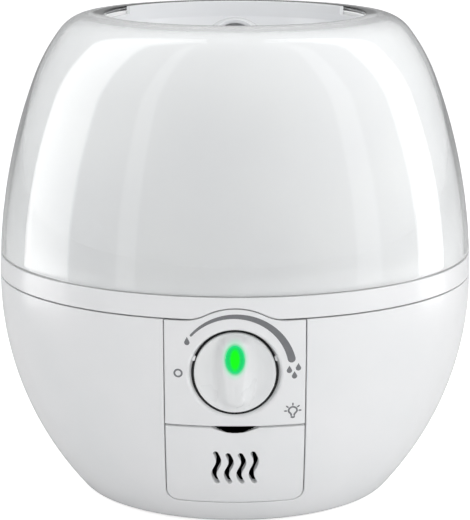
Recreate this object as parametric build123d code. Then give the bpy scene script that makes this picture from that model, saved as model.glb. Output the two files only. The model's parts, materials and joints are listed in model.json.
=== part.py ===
"""Cool mist humidifier: a clear water tank on a round base with a mist knob and a scent-pad drawer.

Millimetres, +Z up, front facing -Y. The origin is where the axis of the body meets the surface
that the feet stand on.
"""
import os
from math import atan2, cos, degrees, radians, sin, sqrt

from build123d import *

# --- overall shape: one turned outline shared by the base and the tank -------------------------
HEIGHT = 242.0              # to the crest of the tank
BODY_R = 119.6              # widest radius, at the belly
BELLY_Z = 109.0
UNDERSIDE_Z = 1.5           # flat underside, held off the surface by the feet
FLAT_R = 75.4               # radius where the underside's rounding starts
BASE_ROUNDING = 6.0
SHOULDER_DROP = 32.0        # below the crest, where the side turns into the shoulder
RIM_DROP = 7.8              # below the crest, where the shoulder turns into the rim
SIDE_TURN = 20.8            # degrees the side has leaned in where the shoulder starts
SHOULDER_TURN = 37.5        # degrees at the start of the rim
SEAM = 0.6                  # open line between two shells

# --- base ------------------------------------------------------------------------------------
HOUSING_WALL = 2.5
HOUSING_TOP = 112.0         # seam between the lower housing and the collar of the basin tray
COLLAR_TOP = 123.0          # seam between the collar and the tank
FLANGE_WIDTH = 5.4          # flat rim of the housing round the bottom plate
PLATE_GAP = 0.3
LEDGE_WIDTH = 4.0           # ring inside the housing that the bottom plate sits against
LEDGE_THICK = 2.5
BASE_SCREW_INSET = 7.0      # from the bottom plate's edge
BASE_SCREW_ANGLES = (30, 150, 210, 330)
BASE_SCREW_LENGTH = 9.0
SCREW_SHANK_R = 1.5
SCREW_HEAD_R = 3.0
SCREW_HEAD_THICK = 1.8
BOSS_R = 5.0
FOOT_R = 7.0
FOOT_RECESS = 1.5
FOOT_INSET = 18.0           # from the bottom plate's edge
FOOT_ANGLES = (45, 135, 225, 315)

# --- basin tray ------------------------------------------------------------------------------
BASIN_ROOM = 3.6            # round the chimney, the filler cap and the basin's wall
BASIN_WALL = 2.5
BASIN_DEPTH = 24.0          # from the seam down to the underside of the basin's floor
DECK_THICK = 2.5
DECK_SCREW_INSET = 13.6     # from the widest radius
DECK_SCREW_ANGLES = (45, 135, 225, 315)
DECK_SCREW_LENGTH = 10.0
LUG_HEIGHT = 18.0
RIB_WIDTH = 3.0

# --- fan and air path -------------------------------------------------------------------------
TOWER_ROOM = 5.5            # between the chimney and the air tower
FAN_RING_R = 29.0
FAN_RING_WALL = 3.0
FAN_RING_GAP = 0.4          # between the fan's ring and the housing's ledge
FAN_RING_HEIGHT = 22.0
FAN_ARM_WIDTH = 4.0
FAN_ARM_THICK = 2.0
FAN_ARMS = 3
FAN_MOTOR_R = 8.5
FAN_MOTOR_HEIGHT = 8.0
FAN_SHAFT_R = 1.5
FAN_SHAFT_FLOOR = 1.0       # material past the shaft's ends
FAN_HUB_RIM = 1.0
FAN_HUB_R = 11.0
FAN_BLADES = 7
FAN_BLADE_HEIGHT = 7.0
FAN_BLADE_THICK = 1.4
FAN_BLADE_PITCH = 32.0
FAN_TIP_CLEARANCE = 1.2
AIR_TOWER_R = 13.0          # bore of the tower that lets air into the basin
AIR_WALL = 2.0
AIR_TOWER_HEIGHT = 20.0
GRILLE_SLOT = 3.0
GRILLE_PITCH = 6.0
GRILLE_SLOTS = 9

# --- front panel, knob and drawer ----------------------------------------------------------------
PANEL_HALF_WIDTH = 33.4     # half width of the opening in the housing
PANEL_GAP = 0.5
PANEL_WALL = 2.5
DRAWER_TOP = 58.8           # seam between the panel and the drawer
DRAWER_BOTTOM = 14.1
DRAWER_CORNER_R = 6.5
ARCH_RISE = 1.2             # centre of the panel's arched top edge, above the knob's centre
ARCH_R = 30.7
ARCH_BLEND_R = 22.0
KNOB_DROP = 26.1            # the knob's centre below the seam
KNOB_R = 19.1
KNOB_BACK_GAP = 0.5
KNOB_RIM_THICK = 2.2
KNOB_RIDGE_HEIGHT = 5.1     # above the rim's plane
KNOB_SOCKET_DEPTH = 2.0     # how far the shaft goes into the knob
KNOB_RIDGE_HALF = 7.1
KNOB_RIDGE_DOWN = 17.0      # from the centre down to the ridge's round end
DISH_GAP = 1.1              # round the knob
DISH_FLARE = 1.4            # how much wider the dish's mouth is than its floor
DISH_DEPTH = 6.4            # at the knob's centre
DISH_BOSS_WALL = 3.0
SHAFT_R = 3.0
RUNNING_FIT = 0.05
WINDOW_UP = 7.5             # lit window, above the knob's centre
WINDOW_HALF_WIDTH = 4.4
WINDOW_HALF_HEIGHT = 6.6
LED_R = 1.8
LED_HOLE_R = 2.6
BOARD_THICK = 1.6
PANEL_BOARD_HALF = 17.0
PANEL_BOARD_GAP = 1.0
POT_R = 8.0
POT_LENGTH = 9.0
POT_BORE_DEPTH = 7.0
PANEL_POST_R = 2.0
PANEL_POST_INSET = 3.0
DOOR_WALL = 3.0
NOTCH_HALF_CHORD = 10.7
NOTCH_DEPTH = 2.5
VENT_COUNT = 4
VENT_PITCH = 5.93
VENT_BOTTOM = 26.4
VENT_TOP_OUTER = 45.3
VENT_TOP_INNER = 44.4
VENT_WIDTH = 2.3
VENT_SWAY = 1.0             # how far a vent's centre line swings either way
TRAY_HALF_WIDTH = 27.5
TRAY_WALL = 1.5
TRAY_BOTTOM = 19.5
TRAY_TOP = 48.0
TRAY_REACH = 58.1           # from the body's axis forward to the tray's rear
GUIDE_GAP = 0.5
GUIDE_FRONT_GAP = 1.0       # behind the drawer front
GUIDE_WALL = 1.5
GUIDE_REAR_ROOM = 4.5
GUIDE_LEG_LENGTH = 6.0
HEATER_THICK = 3.0
HEATER_HALF_WIDTH = 18.0
HEATER_HEIGHT = 14.0

# --- electrics --------------------------------------------------------------------------------
TRANSDUCER_R = 10.0
TRANSDUCER_THICK = 1.0
TRANSDUCER_HOLE_R = 8.5
GASKET_R = 13.0
GASKET_THICK = 2.6
CLAMP_R = 19.0
CLAMP_THICK = 1.6
CLAMP_SCREW_R = 16.0
CLAMP_SCREW_SHANK = 1.2
CLAMP_SCREW_HEAD = 2.1
CLAMP_SCREW_DEPTH = 1.6
CLAMP_SCREW_ANGLES = (90, 210, 330)
SINK_HALF = 11.0
SINK_PLATE = 3.0
SINK_HEIGHT = 15.0
SINK_FINS = 6
SINK_FIN_THICK = 1.2
MAIN_BOARD_X = (-62.0, -34.0)
MAIN_BOARD_HALF_Y = 24.0
MAIN_BOARD_Z = 16.0
MAIN_POST_R = 2.5
MAIN_POST_INSET = 5.0
NIGHT_BOARD_INSET = 1.0     # inside the light ring
NIGHT_BOARD_WIDTH = 13.0
NIGHT_BOARD_DROP = 3.0      # below the deck's underside
NIGHT_LEDS = 8
NIGHT_LED_SIZE = 2.5
NIGHT_LED_HEIGHT = 1.4
LIGHT_RING_ROOM = 3.5       # from the basin's wall
LIGHT_RING_WIDTH = 6.0
NIGHT_POST_R = 2.0
GLAND_Z = 22.0
GLAND_R = 6.0
GLAND_BORE_R = 3.3
GLAND_COLLAR_R = 8.5
GLAND_LENGTH = 11.0
GLAND_REACH = 3.0           # how far the gland stands out of the wall

# --- float switch ------------------------------------------------------------------------------
FLOAT_X = 45.0
FLOAT_Y = -22.0
FLOAT_R = 10.0
FLOAT_HEIGHT = 9.0
FLOAT_POST_R = 3.2
FLOAT_POST_BORE = 1.9
FLOAT_GAP = 0.4
FLOAT_TRAVEL = 8.0
FLOAT_STEP = 1.0            # rest under the float
FLOAT_STEP_WIDTH = 2.0
REED_R = 1.3
REED_LENGTH = 14.0
MAGNET_R = 6.5
MAGNET_THICK = 2.5
RETAINER_R = 6.0
RETAINER_THICK = 1.6

# --- tank ------------------------------------------------------------------------------------
DOME_WALL = 2.4
LINER_GAP = 0.4
LINER_WALL = 1.6
LINER_TOP_DROP = 9.0        # liner stops this far below the crest
TANK_FLOOR_THICK = 3.0
SKIRT_ROOM = 4.1            # between the collar and the skirt that centres the tank
SKIRT_WALL = 2.5
SKIRT_DROP = 7.0
CREST_WIDTH = 6.2           # flat crest, in to the turned-down lip
LIP_DEPTH = 6.0
BOWL_GAP = 0.2
BOWL_TOP_DROP = 4.0         # the bowl's wall starts this far below the crest
BOWL_WALL = 2.0
BOWL_FLARE = 17.6           # how much wider the bowl is at its lip than at its floor
BOWL_DEPTH = 33.0           # from the crest to the upper face of the bowl's floor
BOWL_REAR_HALF_ANGLE = 58.8
FLANGE_REACH = 4.0
CHIMNEY_R = 16.0
CHIMNEY_WALL = 2.0
CHIMNEY_LIFT = 8.5          # above the basin's floor
CHIMNEY_RISE = 8.0          # above the bowl's floor
CHIMNEY_SEAL_WIDTH = 3.0
CHIMNEY_SEAL_THICK = 2.0
NOZZLE_GAP = 0.3
NOZZLE_WALL = 1.8
NOZZLE_DROP = 2.6           # the nozzle's top below the crest
NOZZLE_MOUTH_R = 11.0
NOZZLE_MOUTH_UP = 32.0      # degrees the mouth looks up from level

# --- filler cap and valve ---------------------------------------------------------------------------
NECK_BORE_R = 22.0
NECK_WALL = 2.5
NECK_LENGTH = 8.8           # below the tank's floor
CAP_GAP = 0.4
CAP_WALL = 2.5
CAP_TOP_GAP = 0.7           # below the tank's floor
CAP_GRIPS = 12
CAP_GRIP_R = 1.5
CAP_GASKET_THICK = 1.2
VALVE_STEM_R = 2.2
VALVE_STEM_GAP = 0.3
VALVE_HEAD_R = 9.0
VALVE_HEAD_THICK = 2.0
VALVE_SEAL_THICK = 1.5
VALVE_LIFT = 4.0
VALVE_FLANGE_R = 5.5
VALVE_FLANGE_THICK = 1.5
VALVE_SPRING_ROOM = 7.0
VALVE_PORT_R = 1.6
VALVE_PORTS = 6
VALVE_PORT_CIRCLE_R = 5.2
SPRING_WIRE_R = 0.4
SPRING_R = 3.6
SPRING_PITCH = 1.75
POST_GAP = 0.3
POST_R = 4.0

# --- shape of the outline, worked out from the sizes above ------------------------------------------
LOWER_RISE = BELLY_Z - UNDERSIDE_Z - BASE_ROUNDING
LOWER_INSET = BODY_R - FLAT_R
LOWER_ARC_R = (LOWER_INSET**2 + LOWER_RISE**2 - BASE_ROUNDING**2) / (2 * (LOWER_INSET - BASE_ROUNDING))
LOWER_CENTRE = (BODY_R - LOWER_ARC_R, BELLY_Z)
LOWER_TURN = degrees(atan2(LOWER_RISE, FLAT_R - LOWER_CENTRE[0]))
SIDE_SIN, SHOULDER_SIN = sin(radians(SIDE_TURN)), sin(radians(SHOULDER_TURN))
SIDE_COS, SHOULDER_COS = cos(radians(SIDE_TURN)), cos(radians(SHOULDER_TURN))
SIDE_ARC_R = (HEIGHT - SHOULDER_DROP - BELLY_Z) / SIDE_SIN
SIDE_CENTRE = (BODY_R - SIDE_ARC_R, BELLY_Z)
SHOULDER_ARC_R = (SHOULDER_DROP - RIM_DROP) / (SHOULDER_SIN - SIDE_SIN)
SHOULDER_CENTRE = (SIDE_CENTRE[0] + (SIDE_ARC_R - SHOULDER_ARC_R) * SIDE_COS,
                   SIDE_CENTRE[1] + (SIDE_ARC_R - SHOULDER_ARC_R) * SIDE_SIN)
RIM_ARC_R = RIM_DROP / (1 - SHOULDER_SIN)
RIM_CENTRE = (SHOULDER_CENTRE[0] + (SHOULDER_ARC_R - RIM_ARC_R) * SHOULDER_COS, HEIGHT - RIM_ARC_R)

def wall_radius(z, inset=0.0):
    """Radius of the outer shape at a height below the shoulder, drawn in by the inset."""
    centre, radius = (LOWER_CENTRE, LOWER_ARC_R) if z < BELLY_Z else (SIDE_CENTRE, SIDE_ARC_R)
    return centre[0] + sqrt((radius - inset)**2 - (z - centre[1])**2)


# --- levels and places shared by several pieces ------------------------------------------------------
HOUSING_FLOOR_Z = UNDERSIDE_Z + HOUSING_WALL
LEDGE_TOP = HOUSING_FLOOR_Z + LEDGE_THICK
PLATE_R = FLAT_R - FLANGE_WIDTH
BASE_SCREW_R = PLATE_R - BASE_SCREW_INSET
FOOT_CIRCLE_R = PLATE_R - FOOT_INSET
SHELL_TOP = HOUSING_TOP - SEAM / 2
COLLAR_BOTTOM = HOUSING_TOP + SEAM / 2
TANK_BOTTOM = COLLAR_TOP + SEAM / 2
TANK_FLOOR_TOP = TANK_BOTTOM + TANK_FLOOR_THICK
DECK_TOP = COLLAR_BOTTOM + DECK_THICK
DECK_SCREW_R = BODY_R - DECK_SCREW_INSET
CAP_BORE_R = NECK_BORE_R + NECK_WALL + CAP_GAP
CAP_R = CAP_BORE_R + CAP_WALL
NECK_X = -(CHIMNEY_R + BASIN_ROOM + CAP_R)
BASIN_R = CAP_R + BASIN_ROOM - NECK_X
BASIN_FLOOR_Z = HOUSING_TOP - BASIN_DEPTH
BASIN_FLOOR_TOP = BASIN_FLOOR_Z + BASIN_WALL
LIGHT_RING_R = (BASIN_R + BASIN_WALL + LIGHT_RING_ROOM,
                BASIN_R + BASIN_WALL + LIGHT_RING_ROOM + LIGHT_RING_WIDTH)
NIGHT_BOARD_R = (LIGHT_RING_R[0] - NIGHT_BOARD_INSET,
                 LIGHT_RING_R[0] - NIGHT_BOARD_INSET + NIGHT_BOARD_WIDTH)
NIGHT_BOARD_TOP = COLLAR_BOTTOM - NIGHT_BOARD_DROP
NIGHT_LED_R = (LIGHT_RING_R[0] + LIGHT_RING_R[1]) / 2
NIGHT_POST_CIRCLE_R = NIGHT_BOARD_R[1] - NIGHT_POST_R
FAN_Y = CHIMNEY_R + TOWER_ROOM + AIR_TOWER_R + AIR_WALL
FAN_BORE_R = FAN_RING_R - FAN_RING_WALL
FAN_RING_TOP = HOUSING_FLOOR_Z + FAN_RING_HEIGHT
FAN_ARM_TOP = HOUSING_FLOOR_Z + FAN_ARM_THICK
FAN_ROTOR_LOW = FAN_ARM_TOP + FAN_MOTOR_HEIGHT + SEAM
FAN_ROTOR_HIGH = FAN_ROTOR_LOW + FAN_BLADE_HEIGHT
KNOB_Z = HOUSING_TOP - KNOB_DROP
ARCH_Z = KNOB_Z + ARCH_RISE
DISH_R = KNOB_R + DISH_GAP
DISH_MOUTH_R = DISH_R + DISH_FLARE
PANEL_BOSS_R = DISH_MOUTH_R + DISH_BOSS_WALL
DISH_FLOOR_Y = DISH_DEPTH - wall_radius(KNOB_Z)
PANEL_BACK_Y = DISH_FLOOR_Y + DISH_BOSS_WALL
PANEL_BOARD_Y = PANEL_BACK_Y + PANEL_BOARD_GAP
POT_Y = PANEL_BOARD_Y + BOARD_THICK
KNOB_BACK_Y = DISH_FLOOR_Y - KNOB_BACK_GAP
KNOB_RIM_Y = KNOB_BACK_Y - KNOB_RIM_THICK
KNOB_FRONT_Y = KNOB_RIM_Y - KNOB_RIDGE_HEIGHT
KNOB_SOCKET_Y = KNOB_BACK_Y - KNOB_SOCKET_DEPTH
WINDOW_Z = KNOB_Z + WINDOW_UP
TRAY_REAR_Y = -TRAY_REACH
GUIDE_REAR_Y = TRAY_REAR_Y + GUIDE_REAR_ROOM
NECK_BOTTOM = TANK_BOTTOM - NECK_LENGTH
CAP_TOP = TANK_BOTTOM - CAP_TOP_GAP
CAP_FLOOR_TOP = NECK_BOTTOM - CAP_GASKET_THICK - POST_GAP
CAP_BOTTOM = CAP_FLOOR_TOP - CAP_WALL
VALVE_SEAL_Z = CAP_FLOOR_TOP + VALVE_LIFT + POST_GAP
VALVE_FLANGE_TOP = CAP_BOTTOM - VALVE_SPRING_ROOM
VALVE_BOTTOM = VALVE_FLANGE_TOP - VALVE_FLANGE_THICK
FLOAT_BOTTOM = BASIN_FLOOR_TOP + FLOAT_STEP + POST_GAP
FLOAT_TOP = FLOAT_BOTTOM + FLOAT_HEIGHT
RETAINER_Z = FLOAT_TOP + FLOAT_TRAVEL + POST_GAP
SKIRT_R = BODY_R - HOUSING_WALL - SKIRT_ROOM
LIP_R = RIM_CENTRE[0] - CREST_WIDTH
LIP_BOTTOM = HEIGHT - LIP_DEPTH
BOWL_R = LIP_R - BOWL_GAP
BOWL_FLOOR_R = LIP_R - BOWL_FLARE
BOWL_FLOOR_Z = HEIGHT - BOWL_DEPTH
CHIMNEY_BOTTOM = BASIN_FLOOR_TOP + CHIMNEY_LIFT
CHIMNEY_TOP = BOWL_FLOOR_Z + CHIMNEY_RISE
TALL = 2 * (HEIGHT + BODY_R)    # longer than anything it cuts
LOW, MID = Align.MIN, Align.CENTER


# --- shared shapes -----------------------------------------------------------------------------------
def arc(centre, radius, start, end):
    """Arc round a centre, from one angle to another in degrees."""
    return CenterArc(centre, radius, start, end - start)


def face_of(curves):
    """Flat face inside the curves that close it."""
    return make_face([edge for curve in curves for edge in curve.edges()])


def body_shape(inset):
    """The whole outer shape as one turned solid, drawn in by the inset on every side."""
    low, high = UNDERSIDE_Z + inset, HEIGHT - inset
    curves = [
        arc((FLAT_R, UNDERSIDE_Z + BASE_ROUNDING), BASE_ROUNDING - inset, -90, -LOWER_TURN),
        arc(LOWER_CENTRE, LOWER_ARC_R - inset, -LOWER_TURN, 0),
        arc(SIDE_CENTRE, SIDE_ARC_R - inset, 0, SIDE_TURN),
        arc(SHOULDER_CENTRE, SHOULDER_ARC_R - inset, SIDE_TURN, SHOULDER_TURN),
        arc(RIM_CENTRE, RIM_ARC_R - inset, SHOULDER_TURN, 90),
        Polyline((RIM_CENTRE[0], high), (0, high), (0, low), (FLAT_R, low)),
    ]
    return revolve(Plane.XZ * face_of(curves), Axis.Z)


def disc(radius, low, high, x=0.0, y=0.0):
    """Upright cylinder between two heights."""
    return Pos(x, y, low) * Cylinder(radius, high - low, align=(MID, MID, LOW))


def ring(outer, inner, low, high, x=0.0, y=0.0):
    """Upright tube between two heights."""
    return disc(outer, low, high, x, y) - disc(inner, low, high, x, y)


def block(x_span, y_span, z_span):
    """Box between two corners, given as spans."""
    (x0, x1), (y0, y1), (z0, z1) = x_span, y_span, z_span
    return Pos(x0, y0, z0) * Box(x1 - x0, y1 - y0, z1 - z0, align=(LOW, LOW, LOW))


def slab(low, high):
    """Everything between two heights."""
    return disc(2 * BODY_R, low, high)


def rod(radius, front_y, back_y, x=0.0, z=KNOB_Z):
    """Cylinder along Y between two places."""
    return Pos(x, back_y, z) * Rot(90, 0, 0) * Cylinder(radius, back_y - front_y, align=(MID, MID, LOW))


def turned(*points):
    """Solid turned about the axis from points given as radius and height."""
    return revolve(Plane.XZ * make_face(Polyline(*points, close=True)), Axis.Z)


def along_y(face, front_y, back_y):
    """Upright face, drawn as x and z, made solid between two places along Y."""
    return extrude(Plane((0, back_y, 0), x_dir=(1, 0, 0), z_dir=(0, -1, 0)) * face, back_y - front_y)


def spots(radius, angles, x=0.0, y=0.0):
    """Centres on a circle at the angles, in degrees."""
    return [(x + radius * cos(radians(a)), y + radius * sin(radians(a))) for a in angles]


def evenly(count, start=0.0):
    """Angles that share a full turn."""
    return [start + 360 * i / count for i in range(count)]


def save(node, *pieces):
    """Write one node from its pieces."""
    solids = [solid for piece in pieces for solid in piece.solids()]
    export_step(Compound(children=solids) if len(solids) > 1 else solids[0], f"parts/{node}.step")


def screw(x, y, head_z, shank_up, head_r=SCREW_HEAD_R, shank_r=SCREW_SHANK_R, head=SCREW_HEAD_THICK):
    """Pan-head screw: the head sits below head_z when the shank runs up, above it when negative."""
    way = 1 if shank_up > 0 else -1
    cap = disc(head_r, min(head_z, head_z - way * head), max(head_z, head_z - way * head), x, y)
    shank = disc(shank_r, min(head_z, head_z + shank_up), max(head_z, head_z + shank_up), x, y)
    slot = block((x - head_r, x + head_r), (y - head / 4, y + head / 4), sorted((head_z - way * head,
                 head_z - way * head / 2)))
    return cap + shank - slot


# --- outlines of the front panel and drawer ----------------------------------------------------------
def arch_outline(grow):
    """The panel's outline from the drawer seam to its arched top, made larger by the amount."""
    half = PANEL_HALF_WIDTH + grow
    top = HOUSING_TOP + grow
    big, small = ARCH_R + grow, ARCH_BLEND_R - grow
    small_z = top + small
    small_x = sqrt((big + small)**2 - (small_z - ARCH_Z)**2)
    meet = degrees(atan2(small_z - ARCH_Z, small_x))
    edge = [
        arc((small_x, small_z), small, -90, meet - 180),
        arc((0, ARCH_Z), big, meet, 180 - meet),
        arc((-small_x, small_z), small, -meet, -90),
        Polyline((-small_x, top), (-half, top), (-half, DRAWER_TOP - grow),
                 (half, DRAWER_TOP - grow), (half, top), (small_x, top)),
    ]
    return face_of(edge)


def drawer_outline(grow):
    """The drawer front's outline, with round lower corners, made larger by the amount."""
    half, low, high = PANEL_HALF_WIDTH + grow, DRAWER_BOTTOM - grow, DRAWER_TOP + grow
    radius = DRAWER_CORNER_R + grow
    return face_of([
        Polyline((-half, low + radius), (-half, high), (half, high), (half, low + radius)),
        arc((half - radius, low + radius), radius, 0, -90),
        Line((half - radius, low), (-half + radius, low)),
        arc((-half + radius, low + radius), radius, -90, -180),
    ])


def vent_slot(x, high):
    """One S-shaped slot: two arcs that swing either way of its centre line, with round ends."""
    middle = (VENT_BOTTOM + high) / 2
    half = (high - VENT_BOTTOM - VENT_WIDTH) / 2
    end_x = VENT_SWAY / 2
    line = Spline((x - end_x, middle + half), (x + VENT_SWAY, middle + half / 2), (x, middle),
                  (x - VENT_SWAY, middle - half / 2), (x + end_x, middle - half))
    strip = trace(line, VENT_WIDTH)
    ends = [Pos(*(line @ t)) * Circle(VENT_WIDTH / 2) for t in (0, 1)]
    return strip + ends[0] + ends[1]


# --- base --------------------------------------------------------------------------------------------
def lower_housing():
    shell = (OUTER - body_shape(HOUSING_WALL)) & slab(UNDERSIDE_Z, SHELL_TOP)
    shell += ring(FLAT_R, PLATE_R - LEDGE_WIDTH, HOUSING_FLOOR_Z, LEDGE_TOP)
    shell -= disc(FAN_RING_R + FAN_RING_GAP, HOUSING_FLOOR_Z, LEDGE_TOP, y=FAN_Y)
    for x, y in spots(BASE_SCREW_R, BASE_SCREW_ANGLES):
        shell += disc(BOSS_R, HOUSING_FLOOR_Z, HOUSING_FLOOR_Z + BASE_SCREW_LENGTH, x, y)
    shell -= disc(PLATE_R + PLATE_GAP, UNDERSIDE_Z, HOUSING_FLOOR_Z)
    for x, y in spots(BASE_SCREW_R, BASE_SCREW_ANGLES):
        shell -= disc(SCREW_SHANK_R, HOUSING_FLOOR_Z, HOUSING_FLOOR_Z + BASE_SCREW_LENGTH, x, y)
    shell += deck_lugs()
    shell -= along_y(drawer_outline(0), -TALL, 0) + block((-PANEL_HALF_WIDTH, PANEL_HALF_WIDTH),
                                                          (-TALL, 0), (DRAWER_TOP, SHELL_TOP))
    shell -= rod(GLAND_R, 0, TALL, z=GLAND_Z)
    return shell


def deck_lugs():
    """Posts inside the housing's wall that the deck screws bite into, each with a rib to the wall."""
    lugs = []
    span = (SHELL_TOP - LUG_HEIGHT, SHELL_TOP)
    for angle, (x, y) in zip(DECK_SCREW_ANGLES, spots(DECK_SCREW_R, DECK_SCREW_ANGLES)):
        rib = Rot(0, 0, angle) * block((DECK_SCREW_R, BODY_R), (-RIB_WIDTH / 2, RIB_WIDTH / 2), span)
        post = disc(BOSS_R, *span, x, y) + (rib & body_shape(HOUSING_WALL / 2))
        lugs.append(post - disc(SCREW_SHANK_R, *span, x, y))
    return lugs[0] + lugs[1:]


def bottom_plate():
    plate = disc(PLATE_R, UNDERSIDE_Z, HOUSING_FLOOR_Z)
    for x, y in spots(FOOT_CIRCLE_R, FOOT_ANGLES):
        plate -= disc(FOOT_R, UNDERSIDE_Z, UNDERSIDE_Z + FOOT_RECESS, x, y)
    for x, y in spots(BASE_SCREW_R, BASE_SCREW_ANGLES):
        plate -= disc(SCREW_SHANK_R, UNDERSIDE_Z, HOUSING_FLOOR_Z, x, y)
        plate -= disc(SCREW_HEAD_R, UNDERSIDE_Z, UNDERSIDE_Z + SCREW_HEAD_THICK, x, y)
    for i in range(GRILLE_SLOTS):
        y = FAN_Y + (i - (GRILLE_SLOTS - 1) / 2) * GRILLE_PITCH
        half = sqrt(FAN_BORE_R**2 - (abs(y - FAN_Y) + GRILLE_SLOT / 2)**2)
        plate -= block((-half, half), (y - GRILLE_SLOT / 2, y + GRILLE_SLOT / 2),
                       (UNDERSIDE_Z, HOUSING_FLOOR_Z))
    for x, y in main_board_corners():
        plate += disc(MAIN_POST_R, HOUSING_FLOOR_Z, MAIN_BOARD_Z, x, y)
    return plate


def main_board_corners():
    return [(x, y) for x in (MAIN_BOARD_X[0] + MAIN_POST_INSET, MAIN_BOARD_X[1] - MAIN_POST_INSET)
            for y in (-MAIN_BOARD_HALF_Y + MAIN_POST_INSET, MAIN_BOARD_HALF_Y - MAIN_POST_INSET)]


def rubber_feet():
    return [disc(FOOT_R, 0, UNDERSIDE_Z + FOOT_RECESS, x, y) for x, y in spots(FOOT_CIRCLE_R, FOOT_ANGLES)]


def base_screws():
    head_top = UNDERSIDE_Z + SCREW_HEAD_THICK
    return [screw(x, y, head_top, HOUSING_FLOOR_Z + BASE_SCREW_LENGTH - head_top)
            for x, y in spots(BASE_SCREW_R, BASE_SCREW_ANGLES)]


def cord_gland():
    wall = wall_radius(GLAND_Z)
    back = wall + GLAND_REACH - GLAND_LENGTH
    gland = rod(GLAND_R, back, back + GLAND_LENGTH, z=GLAND_Z)
    collar = rod(GLAND_COLLAR_R, back, back + GLAND_LENGTH, z=GLAND_Z) & body_shape(HOUSING_WALL)
    return gland + collar - rod(GLAND_BORE_R, back, back + GLAND_LENGTH, z=GLAND_Z)


# --- basin tray --------------------------------------------------------------------------------------
def basin_tray():
    outer = BASIN_R + BASIN_WALL
    tray = disc(outer, BASIN_FLOOR_Z, DECK_TOP) - disc(BASIN_R, BASIN_FLOOR_TOP, DECK_TOP)
    deck = body_shape(HOUSING_WALL) & slab(COLLAR_BOTTOM, DECK_TOP)
    deck -= rod(PANEL_BOSS_R + PANEL_GAP, -TALL, PANEL_BACK_Y + PANEL_GAP)
    tray += deck - disc(outer, COLLAR_BOTTOM, DECK_TOP)
    tray += ring(AIR_TOWER_R + AIR_WALL, AIR_TOWER_R, BASIN_FLOOR_Z, BASIN_FLOOR_Z + AIR_TOWER_HEIGHT, y=FAN_Y)
    tray -= disc(AIR_TOWER_R, BASIN_FLOOR_Z, BASIN_FLOOR_TOP, y=FAN_Y)
    tray += disc(POST_R, BASIN_FLOOR_TOP, VALVE_BOTTOM - POST_GAP, NECK_X)
    tray -= disc(TRANSDUCER_HOLE_R, BASIN_FLOOR_Z, BASIN_FLOOR_TOP)
    tray += float_post()
    tray -= disc(FLOAT_POST_BORE, BASIN_FLOOR_Z, BASIN_FLOOR_Z + REED_LENGTH, FLOAT_X, FLOAT_Y)
    for x, y in spots(CLAMP_SCREW_R, CLAMP_SCREW_ANGLES):
        tray -= disc(CLAMP_SCREW_SHANK, BASIN_FLOOR_Z, BASIN_FLOOR_Z + CLAMP_SCREW_DEPTH, x, y)
    for x, y in spots(DECK_SCREW_R, DECK_SCREW_ANGLES):
        tray -= disc(SCREW_SHANK_R, COLLAR_BOTTOM, DECK_TOP, x, y)
    tray -= ring(LIGHT_RING_R[1], LIGHT_RING_R[0], COLLAR_BOTTOM, DECK_TOP)
    tray += light_bridges()
    for x, y in spots(NIGHT_POST_CIRCLE_R, evenly(4)):
        tray += disc(NIGHT_POST_R, NIGHT_BOARD_TOP, COLLAR_BOTTOM, x, y)
    return tray


def collar():
    """Band between the lower housing and the tank, cut away over the front panel's arch."""
    band = (OUTER - body_shape(HOUSING_WALL)) & slab(COLLAR_BOTTOM, COLLAR_TOP - SEAM / 2)
    return band - along_y(arch_outline(0), -TALL, 0)


def light_bridges():
    """Spokes under the light ring that tie the deck to the basin."""
    spoke = block((LIGHT_RING_R[0] - 1, LIGHT_RING_R[1] + 1), (-RIB_WIDTH, RIB_WIDTH),
                  (COLLAR_BOTTOM, COLLAR_BOTTOM + DECK_THICK / 2))
    spokes = [Rot(0, 0, angle) * spoke for angle in evenly(4, 45)]
    return spokes[0] + spokes[1:]


def light_ring():
    half = DECK_THICK / 2
    return ring(LIGHT_RING_R[1], LIGHT_RING_R[0], COLLAR_BOTTOM + half, DECK_TOP)


def float_post():
    return disc(FLOAT_POST_R, BASIN_FLOOR_TOP, RETAINER_Z + RETAINER_THICK, FLOAT_X, FLOAT_Y) + disc(
        FLOAT_POST_R + FLOAT_STEP_WIDTH, BASIN_FLOOR_TOP, FLOAT_BOTTOM - POST_GAP, FLOAT_X, FLOAT_Y)


def deck_screws():
    return [screw(x, y, DECK_TOP, -DECK_SCREW_LENGTH) for x, y in spots(DECK_SCREW_R, DECK_SCREW_ANGLES)]


# --- front panel and knob ------------------------------------------------------------------------------
def control_panel():
    outline = along_y(arch_outline(-PANEL_GAP), -TALL, 0)
    panel = (OUTER - body_shape(PANEL_WALL)) & outline
    panel += rod(PANEL_BOSS_R, -TALL, PANEL_BACK_Y) & OUTER & outline
    panel -= knob_dish()
    panel -= rod(SHAFT_R + RUNNING_FIT, -TALL, 0)
    panel -= rod(LED_HOLE_R, -TALL, 0, z=WINDOW_Z)
    reach = PANEL_BOARD_HALF - PANEL_POST_INSET
    for x in (-reach, reach):
        for z in (KNOB_Z - reach, KNOB_Z + reach):
            panel += rod(PANEL_POST_R, PANEL_BACK_Y, PANEL_BOARD_Y, x, z)
    return panel


def knob_dish():
    """Recess the knob sits in, a little wider at the body's surface than at its floor."""
    return loft([Pos(0, y, KNOB_Z) * Rot(90, 0, 0) * Circle(radius)
                 for y, radius in ((-BODY_R, DISH_MOUTH_R), (DISH_FLOOR_Y, DISH_R))])


def led_board():
    half = PANEL_BOARD_HALF
    board = block((-half, half), (PANEL_BOARD_Y, PANEL_BOARD_Y + BOARD_THICK), (KNOB_Z - half, KNOB_Z + half))
    return board - rod(SHAFT_R + PANEL_GAP, PANEL_BOARD_Y, PANEL_BOARD_Y + BOARD_THICK)


def power_led():
    base = DISH_FLOOR_Y + LED_R
    return rod(LED_R, base, PANEL_BOARD_Y, z=WINDOW_Z) + Pos(0, base, WINDOW_Z) * Sphere(LED_R)


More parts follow.
